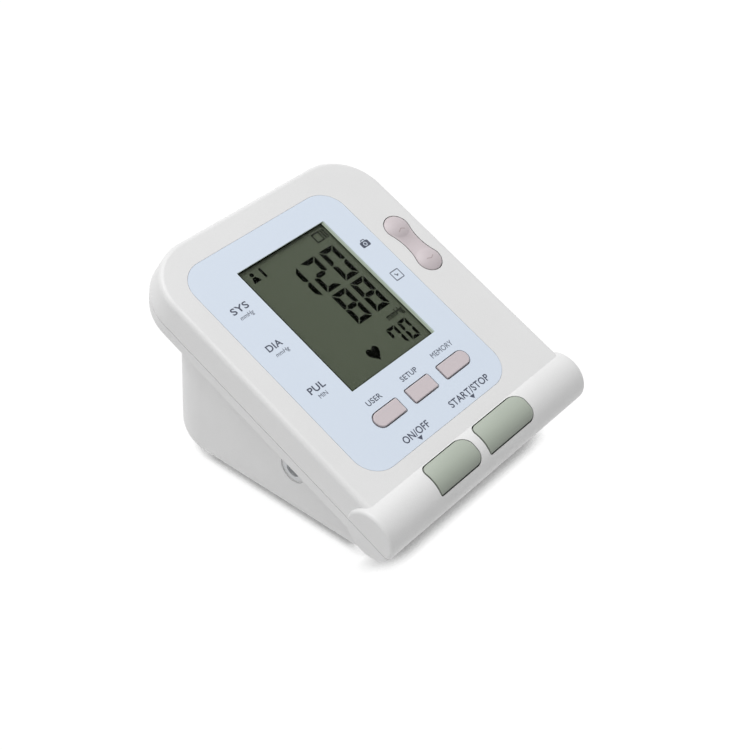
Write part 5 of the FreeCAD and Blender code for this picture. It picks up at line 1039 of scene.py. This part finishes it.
class MONITOR_OT_boards(bpy.types.Operator):
    """Adds the leads, joints, switch covers, small parts and ribbon conductors"""

    bl_idname = "monitor.boards"
    bl_label = "Boards"

    def execute(self, context):
        self.chip_leads()
        self.switch_parts()
        self.small_parts()
        self.ribbon(context.scene.monitor_sizes.ribbon_lines)
        return {"FINISHED"}

    def chip_leads(self):
        """Bent leads along the sides of every chip."""
        meshes = []
        for low, high, middle in solids("board_chips"):
            wide = high.x - low.x
            foot, side = (low.z, 1) if low.z > BOARD_TOP - 0.5 else (high.z, -1)
            stand = Matrix(((1, 0, 0, 0), (0, 0, 1, 0), (0, side, 0, 0), (0, 0, 0, 1)))
            sides, count, pitch = (4, 11, 1.1) if wide > WIDE_CHIP else (2, 4, 1.4)
            for angle in circle(sides):
                bend = [(-0.2, 0.75), (0.25, 0.75), (0.42, 0.09), (0.9, 0.09)]
                lead = line(bmesh.new(), bend, 0.13, -0.2, 0.2)
                turn = Matrix.Rotation(angle, 4, "Z")
                lead.transform(turn @ stand)
                out, along = turn @ Vector((wide / 2, 0, 0)), turn @ Vector((0, pitch, 0))
                start = Vector((middle.x, middle.y, foot)) + out - along * (count - 1) / 2
                meshes.append(row(lead, "solder", count, start, along))
        make("chip_leads", gathered(*meshes), "solder", slot="contact_metal")

    def switch_parts(self):
        """The legs and the steel cover of each switch, and the solder joints of all parts with pins."""
        boxes = solids("tact_switches")
        half = (boxes[0][1].x - boxes[0][0].x) / 2
        beside, apart, hole, thick = half + 0.12, 2.25, 1.95, 0.14
        feet = [Vector((middle.x + x * beside, middle.y + v * apart, low.z))
                for low, high, middle in boxes for x in (-1, 1) for v in (-1, 1)]
        leg = plate(bmesh.new(), rounded(-0.12, 0.12, -0.35, 0.35, 0.05, 1), -0.05, 2.1)
        make("switch_legs", gathered(seated(leg, "solder", feet)), "solder", slot="contact_metal")
        under = [place - Vector((0, 0, BOARD_THICK)) for place in feet]
        over = []
        for node, pins in (("buzzer", ((-3.2, 0), (3.2, 0))), ("capacitor", ((-1.7, 0), (1.7, 0))),
                           ("pressure_sensor", ((-2.5, -3.3), (-2.5, 3.3), (2.5, -3.3), (2.5, 3.3)))):
            middle = box_of(node)[2]
            over += [Vector((middle.x + x, middle.y + v, BOARD_TOP)) for x, v in pins]
        meshes = []
        for places, angle in ((under, -90), (over, 90)):
            cone = [(0.05, 0), (0.05, 0.8), (-0.1, 0.7), (-0.3, 0.36), (-0.6, 0.2), (-0.68, 0)]
            joint = lathe(bmesh.new(), cone, 14)
            joint.transform(Matrix.Rotation(math.radians(angle), 4, "Y"))
            meshes.append(seated(joint, "solder", places))
        make("solder_joints", gathered(*meshes), "solder", angle=EDGE, slot="contact_metal")
        tops = [Vector((middle.x, middle.y, high.z)) for low, high, middle in boxes]
        covers = seated(self.cover(half - 0.1, hole, thick), "valve_steel", tops)
        make("switch_covers", gathered(covers), "valve_steel", slot="contact_metal")

    def cover(self, half, hole, thick):
        """A square plate with a round hole."""
        shape, rings = bmesh.new(), []
        for reach, level in ((None, 0.0), (None, thick), (hole, thick), (hole, 0.0)):
            ring = []
            for t in circle(32):
                r = reach or half / max(abs(math.cos(t)), abs(math.sin(t)))
                ring.append(shape.verts.new((r * math.cos(t), r * math.sin(t), level)))
            rings.append(ring)
        bridge(shape, rings, closed=True)
        return shape

    def small_parts(self):
        """Rows of small resistors and capacitors, with tinned ends."""
        low, high, _ = box_of("main_board")
        body, tip, half, tall, pitch = 0.5, 0.82, 0.42, 0.45, 2.3
        meshes = {"black_plastic": [], "solder": []}
        for x, v, count, level, side in ((-11.0, 56.6, 6, high.z, 1), (5.8, 54.8, 4, high.z, 1),
                                         (-7.5, 30.6, 5, low.z, -1), (-38.5, 32.4, 4, low.z, -1),
                                         (-13.5, 44.0, 7, low.z, -1)):
            for look, spans in (("black_plastic", [(-body, body)]), ("solder", [(-tip, -body), (body, tip)])):
                part = bmesh.new()
                for left, right in spans:
                    plate(part, rectangle(left, right, -half, half), -0.02, tall)
                part.transform(Matrix.Scale(side, 4, (0, 0, 1)))
                meshes[look].append(row(part, look, count, (x, v, level), (pitch, 0.0, 0.0)))
        for name, look, slot in (("small_parts", "black_plastic", "black_plastic"),
                                 ("small_part_ends", "solder", "contact_metal")):
            make(name, gathered(*meshes[look]), look, slot=slot)

    def ribbon(self, count):
        """The tinned conductors on the flat cable."""
        low, high, _ = box_of("board_ribbon")
        margin, run = 0.5, 18.4
        pitch = (high.x - low.x - 2 * margin) / count
        strip = plate(bmesh.new(), rectangle(-pitch * 0.26, pitch * 0.26, 0.0, run), -0.02, 0.03)
        start = (low.x + margin + pitch / 2, low.y + 0.05, low.z + 0.2)
        mesh = row(strip, "solder", count, start, (pitch, 0.0, 0.0))
        make("ribbon_conductors", gathered(mesh), "solder", slot="contact_metal")


# ---------------------------------------------------------------- air and pump


class MONITOR_OT_pump(bpy.types.Operator):
    """Winds the valve's coil, and adds the foam sleeve, the motor's end and the soft feet"""

    bl_idname = "monitor.pump"
    bl_label = "Pump and valve"

    def execute(self, context):
        self.coil(context.scene.monitor_sizes.coil_turns)
        self.sleeve()
        self.motor_end()
        softened("rubber_feet", 0.5, "foot_rubber", "case")
        return {"FINISHED"}

    def coil(self, turns):
        """Enamelled wire between two flanges."""
        low, high, middle = box_of("valve_coil", LEVEL)
        left, right, rim = low.x, high.x, (high.y - low.y) / 2 - 0.05
        margin, flange, bore = 1.0, 0.9, 2.45
        span = right - left - 2 * margin
        wire = span / turns / 2
        core = rim - 0.25 - wire
        wound = grown(winding_tree(), bmesh.new(), "coil_copper",
                      {"Turns": float(turns), "Radius": core, "Length": span, "Wire": wire})
        seat = Matrix.Translation((left + margin, middle.y, middle.z))
        wound.transform(LEVEL @ seat @ Matrix.Rotation(math.radians(90), 4, "Y"))
        wound.name = "coil_winding"
        add_piece("coil_winding", smooth(wound, FINE_EDGE), "coil_copper", slot="coil_copper",
                  replaced=("valve_coil",))
        bobbin = lathe(bmesh.new(), [
            (left, bore), (right, bore), (right, rim), (right - flange, rim), (right - flange, core),
            (left + flange, core), (left + flange, rim), (left, rim)], closed=True)
        bobbin.transform(Matrix.Translation((0, middle.y, middle.z)))
        make("coil_bobbin", bobbin, "frame_plastic", LEVEL, EDGE, slot="frame_plastic")

    def sleeve(self):
        """Soft foam around the motor, with a seam on top where its ends meet."""
        low, high, middle = box_of("pump_sleeve", LEVEL)
        left, right, outer = low.x, high.x, (high.y - low.y) / 2
        inner = outer - 2.15
        uneven, deep, wide, rings = 0.06, 0.9, 0.06, 20
        profile = [(left + 0.35, inner), (left + 0.1, inner + 0.35), (left, inner + 1.1),
                   (left + 0.15, outer - 0.35), (left + 0.6, outer - 0.06)]
        profile += [(left + 1.2 + (right - left - 2.4) * i / rings, outer) for i in range(rings + 1)]
        profile += [(right - 0.6, outer - 0.06), (right - 0.15, outer - 0.35), (right, inner + 1.1),
                    (right - 0.1, inner + 0.35), (right - 0.35, inner)]
        shape = lathe(bmesh.new(), profile, 120, closed=True)
        for vertex in shape.verts:
            x, y, z = vertex.co
            r = math.hypot(y, z)
            if r > inner + 0.2:
                wave = noise.noise(vertex.co * 0.5) + 0.5 * noise.noise(vertex.co * 1.7)
                seam = deep * max(0.0, 1 - abs(math.atan2(y, z)) / wide)
                less = 1 - (uneven + uneven * wave + seam * (r - inner) / (outer - inner)) / r
                vertex.co = (x, y * less, z * less)
        shape.transform(Matrix.Translation((0, middle.y, middle.z)))
        piece = make("pump_foam", shape, "foam", LEVEL, FINE_EDGE, slot="foam", replaced=("pump_sleeve",))

    def motor_end(self):
        """The moulded end of the motor and its two tabs."""
        _, high, middle = box_of("pump_motor", LEVEL)
        place = Matrix.Translation((high.x, middle.y, middle.z))
        cap = lathe(bmesh.new(), [(-0.02, 0), (-0.02, 9.2), (0.5, 9.2), (0.8, 8.9), (0.8, 3.4), (1.0, 3.2),
                                  (2.0, 3.0), (2.2, 2.7), (2.2, 0)])
        make("motor_end_cap", cap, "black_plastic", LEVEL @ place, EDGE, slot="black_plastic")
        tab = plate(bmesh.new(), rounded(-0.3, 0.3, -1.1, 1.1, 0.1, 1), 0.0, 3.4)
        tab.transform(Matrix.Rotation(math.radians(90), 4, "Y"))
        tabs = seated(tab, "contact_metal", [(0.6, -6.0, 0.0), (0.6, 6.0, 0.0)])
        make("motor_tabs", gathered(tabs), "contact_metal", LEVEL @ place, slot="contact_metal")


# ---------------------------------------------------------------- stage


class MONITOR_OT_stage(bpy.types.Operator):
    """Sets the camera, the floor and the lights"""

    bl_idname = "monitor.stage"
    bl_label = "Stage"

    def execute(self, context):
        self.camera()
        self.floor()
        self.lights()
        self.world()
        context.scene.view_settings.view_transform = "Standard"
        return {"FINISHED"}

    def camera(self):
        """A long lens from the left and above."""
        turn, lift, roll = (math.radians(angle) for angle in (-46.67, 38.69, -2.67))
        focus, picture, sensor = 1298.6, 750, 36  # the focal length is in pixels of the picture
        aim, distance, aside, below = Vector((0, 0, 40)), 464.6, 5.21, 6.86
        back = Vector((math.sin(turn) * math.cos(lift), -math.cos(turn) * math.cos(lift), math.sin(lift)))
        across = Vector((0, 0, 1)).cross(back).normalized()
        up = back.cross(across)
        right = across * math.cos(roll) + up * math.sin(roll)
        top = up * math.cos(roll) - across * math.sin(roll)
        place = (aim + back * distance + right * aside - top * below) * MM
        lens = bpy.data.cameras.new("camera")
        lens.sensor_width = sensor
        lens.lens = focus / picture * sensor
        lens.clip_start = 0.01
        holder = linked("camera", lens)
        holder.matrix_world = Matrix.Translation(place) @ Matrix((right, top, back)).transposed().to_4x4()
        bpy.context.scene.camera = holder

    def floor(self):
        """A white table, clear from below: its glow for the camera carries a painted shadow, close all round and
        deeper under the roll, over a faint real shadow.
        """
        material = plastic("Floor", (0.74, 0.74, 0.74), rough=0.7, grain=300.0, depth=0, mottle=0.05,
                           Specular_IOR_Level=0.0)
        tree = material.node_tree
        # painted shadow: occlusion darkens the glow that the camera sees, close all round and deeper under the
        # roll
        close = put(tree, "ShaderNodeAmbientOcclusion", {"Distance": 0.005}, samples=6).outputs["AO"]
        roll = put(tree, "ShaderNodeAmbientOcclusion", {"Distance": 0.0125, "Normal": (0.0, 0.4, 0.9)},
                   samples=8).outputs["AO"]
        place = put(tree, "ShaderNodeSeparateXYZ", {0: place_in(tree)}).outputs["Y"]
        ahead = spread(tree, place, 1.0, 0.0, -0.046, -0.040)  # 1 in front of the flat bottom
        deep = put(tree, "ShaderNodeMix", {0: ahead, 2: 1.0, 3: spread(tree, roll, 0.25, 1.04, 0.575, 0.67)})
        level = maths(tree, "MULTIPLY", spread(tree, close, 0.1, 1.04, 0.43, 0.68), deep.outputs[0])
        glow_painted_shadow = put(tree, "ShaderNodeEmission", {"Color": (1, 1, 1, 1), "Strength": level})
        lay_over(tree, maths(tree, "MULTIPLY", seen(tree), 0.94), glow_painted_shadow.outputs[0])
        lay_over(tree, tree.nodes.new("ShaderNodeNewGeometry").outputs["Backfacing"],
                 tree.nodes.new("ShaderNodeBsdfTransparent").outputs[0])
        shape = bmesh.new()
        bmesh.ops.create_grid(shape, x_segments=2, y_segments=2, size=3.0)
        mesh = as_mesh(shape, "floor")
        mesh.materials.append(material)
        linked("floor", mesh)

    def lights(self):
        """One broad soft lamp overhead, a little to the back."""
        lamp = bpy.data.lights.new("soft_lamp", "AREA")
        lamp.shape = "DISK"
        lamp.size = 1.6
        lamp.energy = 26.0
        place = Vector((-0.1, 0.4, 1.95))
        aim = (Vector((0, 0, 0.03)) - place).to_track_quat("-Z", "Y")
        linked("soft_lamp", lamp).matrix_world = Matrix.Translation(place) @ aim.to_matrix().to_4x4()

    def world(self):
        """A surround that is dimmer towards the front, and that cameras, gloss and glass see as white."""
        world = bpy.data.worlds.new("surround")
        bpy.context.scene.world = world
        world.use_nodes = True
        tree = world.node_tree
        tree.nodes.clear()
        bright_side = (-0.3, 0.56, 0.78)
        way = put(tree, "ShaderNodeVectorMath", {0: place_in(tree, "Generated"), 1: bright_side},
                  operation="DOT_PRODUCT").outputs["Value"]
        level = maths(tree, "MAXIMUM", spread(tree, way, 0.13, 0.66, -0.6, 0.35), seen(tree))
        sky = put(tree, "ShaderNodeBackground", {"Color": (1, 1, 1, 1), "Strength": level})
        put(tree, "ShaderNodeOutputWorld", {"Surface": sky.outputs[0]})


# ---------------------------------------------------------------- add-on


class MONITOR_PT_sidebar(bpy.types.Panel):
    """The steps that finish the monitor"""

    bl_idname = "MONITOR_PT_sidebar"
    bl_label = "Pressure monitor"
    bl_space_type = "VIEW_3D"
    bl_region_type = "UI"
    bl_category = "Monitor"

    def draw(self, context):
        for group in (context.scene.monitor_colours, context.scene.monitor_sizes):
            for name in group.__annotations__:
                self.layout.prop(group, name)
        for step in STEPS:
            self.layout.operator(step.bl_idname)


STEPS = (MONITOR_OT_shells, MONITOR_OT_panel, MONITOR_OT_display, MONITOR_OT_keys, MONITOR_OT_batteries,
         MONITOR_OT_boards, MONITOR_OT_pump, MONITOR_OT_stage)
CLASSES = (MonitorColours, MonitorSizes, *STEPS, MONITOR_PT_sidebar)


def register():
    for item in CLASSES:
        bpy.utils.register_class(item)
    bpy.types.Scene.monitor_colours = PointerProperty(type=MonitorColours)
    bpy.types.Scene.monitor_sizes = PointerProperty(type=MonitorSizes)


def unregister():
    del bpy.types.Scene.monitor_sizes
    del bpy.types.Scene.monitor_colours
    for item in reversed(CLASSES):
        bpy.utils.unregister_class(item)


def main():
    """Runs every step."""
    register()
    bpy.ops.monitor.shells()
    bpy.ops.monitor.panel()
    bpy.ops.monitor.display()
    bpy.ops.monitor.keys()
    bpy.ops.monitor.batteries()
    bpy.ops.monitor.boards()
    bpy.ops.monitor.pump()
    bpy.ops.monitor.stage()


if __name__ == "__main__":
    main()
